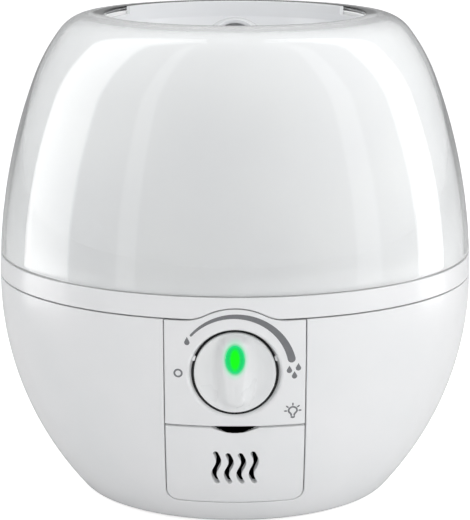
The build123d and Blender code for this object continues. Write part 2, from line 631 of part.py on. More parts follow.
def potentiometer():
    return rod(POT_R, POT_Y, POT_Y + POT_LENGTH) - rod(SHAFT_R + RUNNING_FIT, POT_Y, POT_Y + POT_BORE_DEPTH)


def knob_shaft():
    return rod(SHAFT_R, KNOB_SOCKET_Y, POT_Y + POT_BORE_DEPTH - POST_GAP)


def knob_blank():
    """Knob before its shaft and window holes: a disc with a raised ridge that has scooped sides."""
    disc_part = rod(KNOB_R, KNOB_RIM_Y, KNOB_BACK_Y)
    half, low = KNOB_RIDGE_HALF, KNOB_Z - KNOB_RIDGE_DOWN
    bar = Pos(0, (low + half + KNOB_Z + KNOB_R) / 2) * Rectangle(2 * half, KNOB_Z + KNOB_R - low - half)
    end = Pos(0, low + half) * Circle(half)
    ridge = along_y(bar + end, KNOB_FRONT_Y, KNOB_RIM_Y)
    return disc_part + (ridge & rod(KNOB_R, KNOB_FRONT_Y, KNOB_RIM_Y))


def control_knob():
    knob = knob_blank()
    window = along_y(window_outline(), -TALL, 0)
    return knob - window - rod(SHAFT_R, KNOB_SOCKET_Y, 0)


def window_outline():
    return Pos(0, WINDOW_Z) * Ellipse(WINDOW_HALF_WIDTH, WINDOW_HALF_HEIGHT)


def knob_window():
    lens = along_y(window_outline(), KNOB_FRONT_Y, KNOB_BACK_Y)
    return lens - rod(SHAFT_R, KNOB_SOCKET_Y, 0)


# --- drawer --------------------------------------------------------------------------------------------
def drawer_front():
    outline = along_y(drawer_outline(-PANEL_GAP), -TALL, 0)
    front = (OUTER - body_shape(DOOR_WALL)) & outline
    notch_r = (NOTCH_HALF_CHORD**2 + NOTCH_DEPTH**2) / (2 * NOTCH_DEPTH)
    front -= rod(notch_r, -TALL, 0, z=DRAWER_TOP - NOTCH_DEPTH + notch_r)
    for i in range(VENT_COUNT):
        place = i - (VENT_COUNT - 1) / 2
        high = VENT_TOP_INNER if abs(place) < 1 else VENT_TOP_OUTER
        front -= along_y(vent_slot(place * VENT_PITCH, high), -TALL, 0)
    return front


def drawer_tray():
    half = TRAY_HALF_WIDTH
    tray = block((-half, half), (-TALL, TRAY_REAR_Y), (TRAY_BOTTOM, TRAY_TOP))
    tray -= block((-half + TRAY_WALL, half - TRAY_WALL), (-TALL, TRAY_REAR_Y - TRAY_WALL),
                  (TRAY_BOTTOM + TRAY_WALL, TRAY_TOP))
    return tray & body_shape(DOOR_WALL)


def drawer_guide():
    inner, rear = TRAY_HALF_WIDTH + GUIDE_GAP, GUIDE_REAR_Y + GUIDE_WALL
    outer = inner + GUIDE_WALL
    low, high = TRAY_BOTTOM - GUIDE_GAP, TRAY_TOP + GUIDE_GAP
    guide = block((-outer, outer), (-TALL, rear), (low - GUIDE_WALL, high + GUIDE_WALL))
    guide -= block((-inner, inner), (-TALL, GUIDE_REAR_Y), (low, high))
    guide &= body_shape(DOOR_WALL + GUIDE_FRONT_GAP)
    for side in (-1, 1):
        across = sorted((side * (outer - GUIDE_LEG_LENGTH), side * outer))
        guide += block(across, (rear - GUIDE_LEG_LENGTH, rear), (HOUSING_FLOOR_Z, low - GUIDE_WALL))
    return guide


def pad_heater():
    middle = (TRAY_BOTTOM + TRAY_TOP) / 2
    return block((-HEATER_HALF_WIDTH, HEATER_HALF_WIDTH), (GUIDE_REAR_Y - HEATER_THICK, GUIDE_REAR_Y),
                 (middle - HEATER_HEIGHT / 2, middle + HEATER_HEIGHT / 2))


# --- fan -----------------------------------------------------------------------------------------------
def fan_housing():
    housing = ring(FAN_RING_R, FAN_BORE_R, HOUSING_FLOOR_Z, FAN_RING_TOP, y=FAN_Y)
    housing += disc(FAN_MOTOR_R + FAN_HUB_RIM, HOUSING_FLOOR_Z, FAN_ARM_TOP, y=FAN_Y)
    reach = (FAN_BORE_R + FAN_RING_R) / 2
    arm = block((0, reach), (-FAN_ARM_WIDTH / 2, FAN_ARM_WIDTH / 2), (HOUSING_FLOOR_Z, FAN_ARM_TOP))
    for angle in evenly(FAN_ARMS, 90):
        housing += Pos(0, FAN_Y, 0) * Rot(0, 0, angle) * arm
    return housing


def fan_motor():
    motor = disc(FAN_MOTOR_R, FAN_ARM_TOP, FAN_ARM_TOP + FAN_MOTOR_HEIGHT, y=FAN_Y)
    return motor - disc(FAN_SHAFT_R + RUNNING_FIT, FAN_ARM_TOP + FAN_SHAFT_FLOOR,
                        FAN_ARM_TOP + FAN_MOTOR_HEIGHT, y=FAN_Y)


def fan_rotor():
    low, high = FAN_ROTOR_LOW, FAN_ROTOR_HIGH
    rotor = disc(FAN_HUB_R, low, high)
    tip, root = FAN_BORE_R - FAN_TIP_CLEARANCE, FAN_HUB_R - FAN_BLADE_THICK
    blade = Pos(root, 0, (low + high) / 2) * Rot(FAN_BLADE_PITCH, 0, 0) * Box(
        tip - root, FAN_BLADE_THICK, 3 * FAN_BLADE_HEIGHT, align=(LOW, MID, MID))
    blade &= ring(tip, root, low, high)
    for angle in evenly(FAN_BLADES):
        rotor += Rot(0, 0, angle) * blade
    return Pos(0, FAN_Y, 0) * (rotor - disc(FAN_SHAFT_R, low, high - FAN_SHAFT_FLOOR))


def fan_shaft():
    low = FAN_ARM_TOP + FAN_SHAFT_FLOOR + POST_GAP
    return disc(FAN_SHAFT_R, low, FAN_ROTOR_HIGH - FAN_SHAFT_FLOOR, y=FAN_Y)


def air_duct():
    wide, narrow = FAN_RING_R, AIR_TOWER_R + AIR_WALL
    duct = turned((wide - AIR_WALL, FAN_RING_TOP), (wide, FAN_RING_TOP),
                  (narrow, BASIN_FLOOR_Z), (narrow - AIR_WALL, BASIN_FLOOR_Z))
    return Pos(0, FAN_Y, 0) * duct


# --- electrics -------------------------------------------------------------------------------------------
def transducer_gasket():
    low = BASIN_FLOOR_Z - GASKET_THICK
    gasket = ring(GASKET_R, TRANSDUCER_HOLE_R, low, BASIN_FLOOR_Z)
    return gasket - disc(TRANSDUCER_R, *transducer_span())


def transducer_span():
    low = BASIN_FLOOR_Z - (GASKET_THICK + TRANSDUCER_THICK) / 2
    return low, low + TRANSDUCER_THICK


def transducer_disc():
    return disc(TRANSDUCER_R, *transducer_span())


def transducer_clamp():
    low = BASIN_FLOOR_Z - GASKET_THICK
    clamp = ring(CLAMP_R, GASKET_R, low, BASIN_FLOOR_Z)
    clamp += disc(CLAMP_R, low - CLAMP_THICK, low)
    for x, y in spots(CLAMP_SCREW_R, CLAMP_SCREW_ANGLES):
        clamp -= disc(CLAMP_SCREW_SHANK, low - CLAMP_THICK, BASIN_FLOOR_Z, x, y)
    return clamp


def transducer_screws():
    low = BASIN_FLOOR_Z - GASKET_THICK - CLAMP_THICK
    length = BASIN_FLOOR_Z + CLAMP_SCREW_DEPTH - low
    return [screw(x, y, low, length, CLAMP_SCREW_HEAD, CLAMP_SCREW_SHANK, CLAMP_THICK)
            for x, y in spots(CLAMP_SCREW_R, CLAMP_SCREW_ANGLES)]


def heat_sink():
    top = BASIN_FLOOR_Z - GASKET_THICK - CLAMP_THICK
    half = SINK_HALF
    sink = block((-half, half), (-half, half), (top - SINK_PLATE, top))
    pitch = (2 * half - SINK_FIN_THICK) / (SINK_FINS - 1)
    for i in range(SINK_FINS):
        x = -half + i * pitch
        sink += block((x, x + SINK_FIN_THICK), (-half, half), (top - SINK_HEIGHT, top))
    return sink


def main_board():
    half = MAIN_BOARD_HALF_Y
    return block(MAIN_BOARD_X, (-half, half), (MAIN_BOARD_Z, MAIN_BOARD_Z + BOARD_THICK))


def board_components():
    """Transformer, two capacitors, a chip and a connector, standing on the main board."""
    z = MAIN_BOARD_Z + BOARD_THICK
    x = MAIN_BOARD_X[0]
    return [
        block((x + 3, x + 21), (-20, -2), (z, z + 15)),
        disc(4.5, z, z + 14, x + 8, 8),
        disc(4.5, z, z + 14, x + 19, 8),
        block((x + 4, x + 14), (16, 20), (z, z + 3)),
        block((x + 23, x + 27), (-16, 14), (z, z + 7)),
    ]


def night_light_board():
    return ring(NIGHT_BOARD_R[1], NIGHT_BOARD_R[0], NIGHT_BOARD_TOP - BOARD_THICK, NIGHT_BOARD_TOP)


def night_light_leds():
    size = NIGHT_LED_SIZE
    return [Pos(x, y, NIGHT_BOARD_TOP) * Box(size, size, NIGHT_LED_HEIGHT, align=(MID, MID, LOW))
            for x, y in spots(NIGHT_LED_R, evenly(NIGHT_LEDS, 180 / NIGHT_LEDS))]


# --- float switch ------------------------------------------------------------------------------------------
def float_body():
    return ring(FLOAT_R, FLOAT_POST_R + FLOAT_GAP, FLOAT_BOTTOM, FLOAT_TOP, FLOAT_X, FLOAT_Y) - float_magnet()


def float_magnet():
    return ring(MAGNET_R, FLOAT_POST_R + FLOAT_GAP, FLOAT_TOP - MAGNET_THICK, FLOAT_TOP, FLOAT_X, FLOAT_Y)


def float_retainer():
    return ring(RETAINER_R, FLOAT_POST_R, RETAINER_Z, RETAINER_Z + RETAINER_THICK, FLOAT_X, FLOAT_Y)


def reed_switch():
    return disc(REED_R, BASIN_FLOOR_Z, BASIN_FLOOR_Z + REED_LENGTH, FLOAT_X, FLOAT_Y)


# --- tank ----------------------------------------------------------------------------------------------------
def tank_dome():
    dome = (OUTER - body_shape(DOME_WALL)) & slab(TANK_BOTTOM, HEIGHT)
    dome += ring(LIP_R + DOME_WALL, LIP_R, LIP_BOTTOM, HEIGHT)
    return dome - disc(LIP_R, LIP_BOTTOM, HEIGHT)


def tank_liner():
    inset = DOME_WALL + LINER_GAP
    liner = body_shape(inset) - body_shape(inset + LINER_WALL)
    return (liner & slab(TANK_FLOOR_TOP, HEIGHT - LINER_TOP_DROP)) - disc(RIM_CENTRE[0], 0, TALL)


def tank_floor():
    floor = body_shape(DOME_WALL) & slab(TANK_BOTTOM, TANK_FLOOR_TOP)
    floor += ring(SKIRT_R, SKIRT_R - SKIRT_WALL, TANK_BOTTOM - SKIRT_DROP, TANK_BOTTOM)
    floor += disc(NECK_BORE_R + NECK_WALL, NECK_BOTTOM, TANK_FLOOR_TOP, NECK_X)
    floor -= disc(NECK_BORE_R, NECK_BOTTOM, TANK_FLOOR_TOP, NECK_X)
    return floor - disc(CHIMNEY_R, TANK_BOTTOM, TANK_FLOOR_TOP)


def mist_chimney():
    return ring(CHIMNEY_R, CHIMNEY_R - CHIMNEY_WALL, CHIMNEY_BOTTOM, CHIMNEY_TOP)


def chimney_seal():
    top = BOWL_FLOOR_Z - BOWL_WALL
    return ring(CHIMNEY_R + CHIMNEY_SEAL_WIDTH, CHIMNEY_R, top - CHIMNEY_SEAL_THICK, top)


def mist_bowl():
    wall, top, floor, under = BOWL_WALL, HEIGHT - BOWL_TOP_DROP, BOWL_FLOOR_Z, LIP_BOTTOM
    flange_r = LIP_R + FLANGE_REACH
    bowl = turned((CHIMNEY_R, floor - wall), (BOWL_FLOOR_R + wall, floor - wall),
                  (BOWL_R, under - wall), (flange_r, under - wall), (flange_r, under), (BOWL_R, under),
                  (BOWL_R, top), (BOWL_R - wall, top), (BOWL_R - wall, under - wall),
                  (BOWL_FLOOR_R, floor), (CHIMNEY_R, floor))
    reach = 2 * BODY_R
    wedge = make_face(Polyline((0, 0), *[(reach * sin(radians(a)), reach * cos(radians(a))) for a in
                                         (-BOWL_REAR_HALF_ANGLE, 0, BOWL_REAR_HALF_ANGLE)], close=True))
    rear = ring(BOWL_R, BOWL_R - wall, top, HEIGHT) & Pos(0, 0, top) * extrude(wedge, HEIGHT - top)
    return bowl + rear


def mist_nozzle():
    bore = CHIMNEY_R + NOZZLE_GAP
    radius = bore + NOZZLE_WALL
    low, top = BOWL_FLOOR_Z + NOZZLE_GAP, HEIGHT - NOZZLE_DROP
    centre = top - radius
    nozzle = disc(radius, low, centre) + Pos(0, 0, centre) * Sphere(radius)
    nozzle -= disc(bore, low, centre) + Pos(0, 0, centre) * Sphere(bore)
    mouth = Pos(0, 0, centre) * Rot(90 - NOZZLE_MOUTH_UP, 0, 0) * Cylinder(
        NOZZLE_MOUTH_R, TALL, align=(MID, MID, LOW))
    return (nozzle & slab(low, top)) - mouth


# --- filler cap and valve ------------------------------------------------------------------------------------
def tank_cap():
    cap = disc(CAP_R, CAP_BOTTOM, CAP_TOP, NECK_X) - disc(CAP_BORE_R, CAP_FLOOR_TOP, CAP_TOP, NECK_X)
    cap -= disc(VALVE_STEM_R + VALVE_STEM_GAP, CAP_BOTTOM, CAP_FLOOR_TOP, NECK_X)
    for x, y in spots(VALVE_PORT_CIRCLE_R, evenly(VALVE_PORTS), NECK_X):
        cap -= disc(VALVE_PORT_R, CAP_BOTTOM, CAP_FLOOR_TOP, x, y)
    for x, y in spots(CAP_R, evenly(CAP_GRIPS), NECK_X):
        cap -= disc(CAP_GRIP_R, CAP_BOTTOM, CAP_TOP, x, y)
    return cap


def cap_gasket():
    return ring(NECK_BORE_R + NECK_WALL, NECK_BORE_R, CAP_FLOOR_TOP, CAP_FLOOR_TOP + CAP_GASKET_THICK, NECK_X)


def valve_plunger():
    head = VALVE_SEAL_Z + VALVE_SEAL_THICK
    plunger = disc(VALVE_STEM_R, VALVE_BOTTOM, head + VALVE_HEAD_THICK, NECK_X)
    plunger += disc(VALVE_HEAD_R, head, head + VALVE_HEAD_THICK, NECK_X)
    return plunger + disc(VALVE_FLANGE_R, VALVE_BOTTOM, VALVE_FLANGE_TOP, NECK_X)


def valve_seal():
    return ring(VALVE_HEAD_R, VALVE_STEM_R, VALVE_SEAL_Z, VALVE_SEAL_Z + VALVE_SEAL_THICK, NECK_X)


def valve_spring():
    low, high = VALVE_FLANGE_TOP + SPRING_WIRE_R, CAP_BOTTOM - SPRING_WIRE_R
    coil = Helix(SPRING_PITCH, high - low, SPRING_R)
    wire = sweep(Plane(coil @ 0, z_dir=coil % 0) * Circle(SPRING_WIRE_R), coil)
    return Pos(NECK_X, 0, low) * wire


OUTER = body_shape(0)


def main():
    os.makedirs("parts", exist_ok=True)
    save("lower_housing", lower_housing())
    save("bottom_plate", bottom_plate())
    save("rubber_feet", *rubber_feet())
    save("base_screws", *base_screws())
    save("cord_gland", cord_gland())
    save("basin_tray", basin_tray())
    save("collar", collar())
    save("deck_screws", *deck_screws())
    save("light_ring", light_ring())
    save("control_panel", control_panel())
    save("led_board", led_board())
    save("power_led", power_led())
    save("potentiometer", potentiometer())
    save("control_knob", control_knob())
    save("knob_window", knob_window())
    save("knob_shaft", knob_shaft())
    save("drawer_front", drawer_front())
    save("drawer_tray", drawer_tray())
    save("drawer_guide", drawer_guide())
    save("pad_heater", pad_heater())
    save("fan_housing", fan_housing())
    save("fan_motor", fan_motor())
    save("fan_rotor", fan_rotor())
    save("fan_shaft", fan_shaft())
    save("air_duct", air_duct())
    save("transducer_disc", transducer_disc())
    save("transducer_gasket", transducer_gasket())
    save("transducer_clamp", transducer_clamp())
    save("transducer_screws", *transducer_screws())
    save("heat_sink", heat_sink())
    save("main_board", main_board())
    save("board_components", *board_components())
    save("night_light_board", night_light_board())
    save("night_light_leds", *night_light_leds())
    save("float_body", float_body())
    save("float_magnet", float_magnet())
    save("float_retainer", float_retainer())
    save("reed_switch", reed_switch())
    save("tank_dome", tank_dome())
    save("tank_liner", tank_liner())
    save("tank_floor", tank_floor())
    save("mist_chimney", mist_chimney())
    save("chimney_seal", chimney_seal())
    save("mist_bowl", mist_bowl())
    save("mist_nozzle", mist_nozzle())
    save("tank_cap", tank_cap())
    save("cap_gasket", cap_gasket())
    save("valve_plunger", valve_plunger())
    save("valve_seal", valve_seal())
    save("valve_spring", valve_spring())


main()
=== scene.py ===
"""Looks of a cool mist humidifier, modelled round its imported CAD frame.

The body is one turned outline shared by a white base and a clear water tank. Every visible shell
is a sheet of that outline, cut along its seams, given a rolled edge and a wall; the knob, bowl and
nozzle are turned or shaped on their own axes. Shapes are drawn in millimetres in the frame's own
place and made metres when they become objects. Inner parts keep their CAD meshes and get their real
finishes.
"""

import json
import logging
import math
from dataclasses import dataclass, field
from enum import Enum
from functools import cached_property
from typing import Callable, Sequence

import bmesh
import bpy
from bmesh.types import BMEdge, BMesh, BMFace, BMVert
from mathutils import Matrix, Vector

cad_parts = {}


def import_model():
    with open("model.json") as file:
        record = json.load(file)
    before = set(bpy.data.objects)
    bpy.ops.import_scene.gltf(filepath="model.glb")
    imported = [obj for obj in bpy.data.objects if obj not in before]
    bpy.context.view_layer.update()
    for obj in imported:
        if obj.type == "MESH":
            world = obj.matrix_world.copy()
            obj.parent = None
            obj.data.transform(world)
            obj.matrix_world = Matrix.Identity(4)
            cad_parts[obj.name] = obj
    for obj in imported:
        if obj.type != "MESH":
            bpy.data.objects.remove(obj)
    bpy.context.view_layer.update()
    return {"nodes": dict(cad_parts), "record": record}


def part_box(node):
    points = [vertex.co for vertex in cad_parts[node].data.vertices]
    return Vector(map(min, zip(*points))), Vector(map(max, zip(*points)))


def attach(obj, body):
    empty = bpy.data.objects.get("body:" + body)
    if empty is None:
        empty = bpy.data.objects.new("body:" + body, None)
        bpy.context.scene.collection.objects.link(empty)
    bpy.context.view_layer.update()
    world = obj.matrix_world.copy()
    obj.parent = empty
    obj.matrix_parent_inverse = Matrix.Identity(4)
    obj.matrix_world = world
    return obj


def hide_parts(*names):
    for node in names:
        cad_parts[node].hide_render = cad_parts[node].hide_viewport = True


LOG = logging.getLogger("humidifier")
MM = 0.001
Point = tuple[float, float]
Socket = bpy.types.NodeSocket


# --- flat outlines --------------------------------------------------------------------------------
def mm_box(node: str) -> tuple[Vector, Vector]:
    """Lowest and highest corners of a CAD node at rest, in millimetres."""
    low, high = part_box(node)
    return low / MM, high / MM


def arc_points(centre: Point, radius: float, start: float, end: float, steps: int) -> list[Point]:
    """Points along an arc.

    Args:
        centre: the arc's centre.
        radius: its radius.
        start: first angle in degrees.
        end: last angle in degrees.
        steps: number of equal steps.

    Returns:
        The points, both ends included.
    """
    angles = [math.radians(start + (end - start) * i / steps) for i in range(steps + 1)]
    return [(centre[0] + radius * math.cos(a), centre[1] + radius * math.sin(a)) for a in angles]


def circle_points(centre: Point, radius: float, steps: int = 48, tall: float = 1.0) -> list[Point]:
    """Closed circle, or an ellipse when tall stretches its height."""
    return [(centre[0] + radius * math.cos(2 * math.pi * i / steps),
             centre[1] + radius * tall * math.sin(2 * math.pi * i / steps)) for i in range(steps)]


def ribbon(line: Sequence[Point], width: Callable[[float], float],
           cap_steps: int = 6) -> list[Point]:
    """Closed outline of a stroke with round ends.

    Args:
        line: the stroke's centre line.
        width: full width at each share of the stroke's length, 0 to 1.
        cap_steps: steps round each end.

    Returns:
        The outline's corners in order.
    """
    last = len(line) - 1
    left, right = [], []
    for i, (x, z) in enumerate(line):
        ahead, behind = line[min(i + 1, last)], line[max(i - 1, 0)]
        way = Vector((ahead[0] - behind[0], ahead[1] - behind[1])).normalized()
        half = width(i / last) / 2
        left.append((x - way.y * half, z + way.x * half))
        right.append((x + way.y * half, z - way.x * half))
    ends = []
    for place, other in ((last, last - 1), (0, 1)):
        turn = math.degrees(math.atan2(line[place][1] - line[other][1],
                                       line[place][0] - line[other][0]))
        ends.append(arc_points(line[place], width(place / last) / 2, turn - 90, turn + 90,
                               cap_steps)[1:-1])
    return right + ends[0] + left[::-1] + ends[1]


def smooth_line(knots: Sequence[Point], steps: int) -> list[Point]:
    """Curve through the knots, with the given steps between neighbours (Catmull-Rom)."""
    ends = [(2 * knots[0][0] - knots[1][0], 2 * knots[0][1] - knots[1][1]),
            (2 * knots[-1][0] - knots[-2][0], 2 * knots[-1][1] - knots[-2][1])]
    row = [ends[0], *knots, ends[1]]
    line = []
    for a, b, c, d in zip(row, row[1:], row[2:], row[3:]):
        for i in range(steps):
            t = i / steps
            line.append(tuple(0.5 * (2 * b[k] + (c[k] - a[k]) * t
                                     + (2 * a[k] - 5 * b[k] + 4 * c[k] - d[k]) * t**2
                                     + (3 * b[k] - a[k] - 3 * c[k] + d[k]) * t**3) for k in (0, 1)))
    return line + [tuple(knots[-1])]


def inside(x: float, z: float, outline: Sequence[Point]) -> bool:
    """Whether a point lies inside a closed outline."""
    hit = False
    for (x0, z0), (x1, z1) in zip(outline, [*outline[1:], outline[0]]):
        if (z0 > z) != (z1 > z) and x < (x1 - x0) * (z - z0) / (z1 - z0) + x0:
            hit = not hit
    return hit


def rounded(corners: Sequence[Point], radius: float, steps: int = 3) -> list[Point]:
    """Closed outline with its sharp corners rounded.

    Args:
        corners: the outline's corners in order.
        radius: corner radius, made smaller where a side is too short for it.
        steps: steps in each corner.

    Returns:
        The rounded outline.
    """
    result: list[Point] = []
    count = len(corners)
    for i, here in enumerate(corners):
        p, a, b = Vector(here), Vector(corners[i - 1]), Vector(corners[(i + 1) % count])
        back, ahead = (a - p), (b - p)
        turn = math.pi - back.angle(ahead, math.pi)
        if turn < math.radians(25):
            result.append(here)
            continue
        reach = min(radius * math.tan(turn / 2), 0.45 * back.length, 0.45 * ahead.length)
        start, end = p + back.normalized() * reach, p + ahead.normalized() * reach
        for k in range(steps + 1):
            t = k / steps
            result.append(tuple(start * (1 - t)**2 + p * 2 * t * (1 - t) + end * t**2))
    return result


def ease(value: float) -> float:
    """Smooth step from 0 to 1."""
    t = min(1.0, max(0.0, value))
    return t * t * (3 - 2 * t)


# --- the body's turned outline --------------------------------------------------------------------
@dataclass(frozen=True)
class Arc:
    """One arc of the turned outline, in radius and height."""
    r: float
    z: float
    radius: float
    start: float
    end: float

    def height(self, angle: float, inset: float) -> float:
        """Height of the arc at an angle in degrees, drawn in by the inset."""
        return self.z + (self.radius - inset) * math.sin(math.radians(angle))

    def angle(self, z: float, inset: float) -> float:
        """Angle in degrees at which the arc reaches a height."""
        return math.degrees(math.asin(max(-1.0, min(1.0, (z - self.z) / (self.radius - inset)))))


@dataclass(frozen=True)
class Outline:
    """The body's outline: base rounding, lower side, upper side, shoulder and rim, all tangent."""
    belly_r: float
    height: float
    belly_z: float = 109.0
    underside_z: float = 1.5
    flat_r: float = 75.4
    rounding: float = 6.0
    shoulder_drop: float = 32.0
    rim_drop: float = 7.8
    side_turn: float = 20.8
    shoulder_turn: float = 37.5

    @cached_property
    def arcs(self) -> tuple[Arc, ...]:
        """The five arcs from the underside to the crest."""
        rise = self.belly_z - self.underside_z - self.rounding
        inset = self.belly_r - self.flat_r
        low_radius = (inset**2 + rise**2 - self.rounding**2) / (2 * (inset - self.rounding))
        low_turn = math.degrees(math.atan2(rise, self.flat_r - self.belly_r + low_radius))
        sines = [math.sin(math.radians(a)) for a in (self.side_turn, self.shoulder_turn)]
        cosines = [math.cos(math.radians(a)) for a in (self.side_turn, self.shoulder_turn)]
        side = (self.height - self.shoulder_drop - self.belly_z) / sines[0]
        shoulder = (self.shoulder_drop - self.rim_drop) / (sines[1] - sines[0])
        rim = self.rim_drop / (1 - sines[1])
        shoulder_r = self.belly_r - side + (side - shoulder) * cosines[0]
        shoulder_z = self.belly_z + (side - shoulder) * sines[0]
        return (
            Arc(self.flat_r, self.underside_z + self.rounding, self.rounding, -90, -low_turn),
            Arc(self.belly_r - low_radius, self.belly_z, low_radius, -low_turn, 0),
            Arc(self.belly_r - side, self.belly_z, side, 0, self.side_turn),
            Arc(shoulder_r, shoulder_z, shoulder, self.side_turn, self.shoulder_turn),
            Arc(shoulder_r + (shoulder - rim) * cosines[1], self.height - rim, rim,
                self.shoulder_turn, 90),
        )

    @property
    def crest_r(self) -> float:
        """Radius at which the rim reaches the crest."""
        return self.arcs[-1].r

    def radius_at(self, z: float, inset: float = 0.0) -> float:
        """Radius at a height, drawn in by the inset."""
        for arc in self.arcs:
            if z <= arc.height(arc.end, inset) or arc is self.arcs[-1]:
                return arc.r + (arc.radius - inset) * math.cos(math.radians(arc.angle(z, inset)))
        return self.crest_r

    def path(self, low: float, high: float, step: float, inset: float = 0.0) -> list[Point]:
        """Points up the outline.

        Args:
            low: first height.
            high: last height.
            step: longest distance between points.
            inset: how far the outline is drawn in.

        Returns:
            Points as radius and height.
        """
        points: list[Point] = []
        for arc in self.arcs:
            start = arc.angle(low, inset) if low > arc.height(arc.start, inset) else arc.start
            end = arc.angle(high, inset) if high < arc.height(arc.end, inset) else arc.end
            if end - start < 1e-6 or arc.height(arc.start, inset) > high or arc.height(arc.end,
                                                                                       inset) < low:
                continue
            length = math.radians(end - start) * (arc.radius - inset)
            row = arc_points((arc.r, arc.z), arc.radius - inset, start, end,
                             max(2, math.ceil(length / step)))
            points.extend(row if not points else row[1:])
        return points


# --- sheets, cuts and edges -----------------------------------------------------------------------
def turned(profile: Sequence[Point], steps: int = 160, closed: bool = True) -> BMesh:
    """Profile of radius and height turned fully about the upright axis.

    Args:
        profile: points of radius and height, in order.
        steps: steps round the axis.
        closed: whether the last point joins the first.

    Returns:
        The turned mesh, with its faces outwards where it is closed.
    """
    bm = bmesh.new()
    verts = [bm.verts.new((r, 0, z)) for r, z in profile]
    edges = [bm.edges.new(pair) for pair in zip(verts, verts[1:])]
    if closed:
        edges.append(bm.edges.new((verts[-1], verts[0])))
    bmesh.ops.spin(bm, geom=verts + edges, cent=(0, 0, 0), axis=(0, 0, 1), angle=2 * math.pi,
                   steps=steps, use_merge=True)
    bmesh.ops.remove_doubles(bm, verts=bm.verts[:], dist=1e-3)
    bmesh.ops.recalc_face_normals(bm, faces=bm.faces[:])
    return bm


def skin(path: Sequence[Point], half_angle: float, step_angle: float) -> BMesh:
    """Sheet of the outline across the front, between two angles either side of it.

    Args:
        path: points of radius and height.
        half_angle: degrees either side of the front.
        step_angle: degrees between columns.

    Returns:
        The sheet, facing outwards.
    """
    bm = bmesh.new()
    start = math.radians(-90 - half_angle)
    verts = [bm.verts.new((r * math.cos(start), r * math.sin(start), z)) for r, z in path]
    edges = [bm.edges.new(pair) for pair in zip(verts, verts[1:])]
    bmesh.ops.spin(bm, geom=verts + edges, cent=(0, 0, 0), axis=(0, 0, 1),
                   angle=math.radians(2 * half_angle), steps=math.ceil(2 * half_angle / step_angle))
    face_out(bm)
    return bm


def face_out(bm: BMesh) -> None:
    """Turn a sheet of the outline so that it faces away from the axis."""
    bm.normal_update()
    if sum(f.normal.x * f.calc_center_median().x + f.normal.y * f.calc_center_median().y
           for f in bm.faces) < 0:
        bmesh.ops.reverse_faces(bm, faces=bm.faces[:])
        bm.normal_update()


def on_side(face: BMFace, side: int) -> bool:
    """Whether a face lies on the front (-1), the back (1) or either (0)."""
    return side == 0 or face.calc_center_median().y * side > 0


def score(bm: BMesh, outline: Sequence[Point], side: int = -1) -> None:
    """Cut edges into a sheet along a closed outline drawn as x and z, with upright planes."""
    for (x0, z0), (x1, z1) in zip(outline, [*outline[1:], outline[0]]):
        x_span, z_span = sorted((x0, x1)), sorted((z0, z1))
        near = []
        for f in bm.faces:
            xs, zs = [v.co.x for v in f.verts], [v.co.z for v in f.verts]
            if (max(xs) > x_span[0] - 1e-3 and min(xs) < x_span[1] + 1e-3
                    and max(zs) > z_span[0] - 1e-3 and min(zs) < z_span[1] + 1e-3
                    and on_side(f, side)):
                near.append(f)
        edges = dict.fromkeys(e for f in near for e in f.edges)
        verts = dict.fromkeys(v for f in near for v in f.verts)
        if near:
            bmesh.ops.bisect_plane(bm, geom=[*near, *edges, *verts], dist=2e-3,
                                   plane_co=(x0, 0, z0),
                                   plane_no=Vector((z1 - z0, 0, x0 - x1)).normalized())


def drop(bm: BMesh, outline: Sequence[Point], within: bool = True, side: int = -1,
         faces: Sequence[BMFace] | None = None) -> None:
    """Delete the faces within an outline, or those outside it."""
    pool = bm.faces if faces is None else faces
    doomed = [f for f in pool if on_side(f, side)
              and inside(f.calc_center_median().x, f.calc_center_median().z, outline) == within]
    bmesh.ops.delete(bm, geom=doomed, context="FACES")


def cut(bm: BMesh, outline: Sequence[Point], within: bool = True, side: int = -1) -> None:
    """Score an outline and delete what lies within it, or outside it."""
    score(bm, outline, side)
    drop(bm, outline, within, side)


@dataclass
class Border:
    """Open edge of a sheet that is grown step by step; each grown corner knows where it began."""
    bm: BMesh
    edges: list[BMEdge]
    origin: dict[BMVert, BMVert] = field(init=False)

    def __post_init__(self) -> None:
        """Start with each corner as its own origin."""
        self.origin = {v: v for e in self.edges for v in e.verts}

    def grow(self, place: Callable[[BMVert], Vector]) -> None:
        """Extrude the border once and put each new corner where its origin's place says."""
        out = bmesh.ops.extrude_edge_only(self.bm, edges=self.edges)["geom"]
        new = {g for g in out if isinstance(g, BMVert)}
        grown = {}
        for old, start in self.origin.items():
            fresh = next(v for v in (e.other_vert(old) for e in old.link_edges) if v in new)
            fresh.co = place(start)
            grown[fresh] = start
        self.edges = [g for g in out if isinstance(g, BMEdge) and all(v in new for v in g.verts)]
        self.origin = grown

    def weld(self, partner: dict[BMVert, BMVert]) -> None:
        """Weld each corner onto its origin's partner."""
        bmesh.ops.weld_verts(self.bm, targetmap={v: partner[s] for v, s in self.origin.items()})


def border_frames(edges: Sequence[BMEdge]) -> dict[BMVert, tuple[Vector, Vector, Vector]]:
    """Place, facing and outward way of each corner of a sheet's open edge.

    Args:
        edges: the open edges.

    Returns:
        For each corner: its place, the sheet's normal, and the way out of the sheet.
    """
    ways: dict[BMVert, list[Vector]] = {}
    for e in edges:
        f = e.link_faces[0]
        along = (e.verts[1].co - e.verts[0].co).normalized()
        out = along.cross(f.normal)
        if out.dot(f.calc_center_median() - e.verts[0].co) > 0:
            out.negate()
        for v in e.verts:
            ways.setdefault(v, []).append(out)
    frames = {}
    for v, outs in ways.items():
        mean = sum(outs, Vector()).normalized()
        spread = max(0.6, mean.dot(outs[0]))
        frames[v] = (v.co.copy(), v.normal.copy(), mean / spread)
    return frames


ROLL_TURNS = (10, 30, 52, 74, 90)


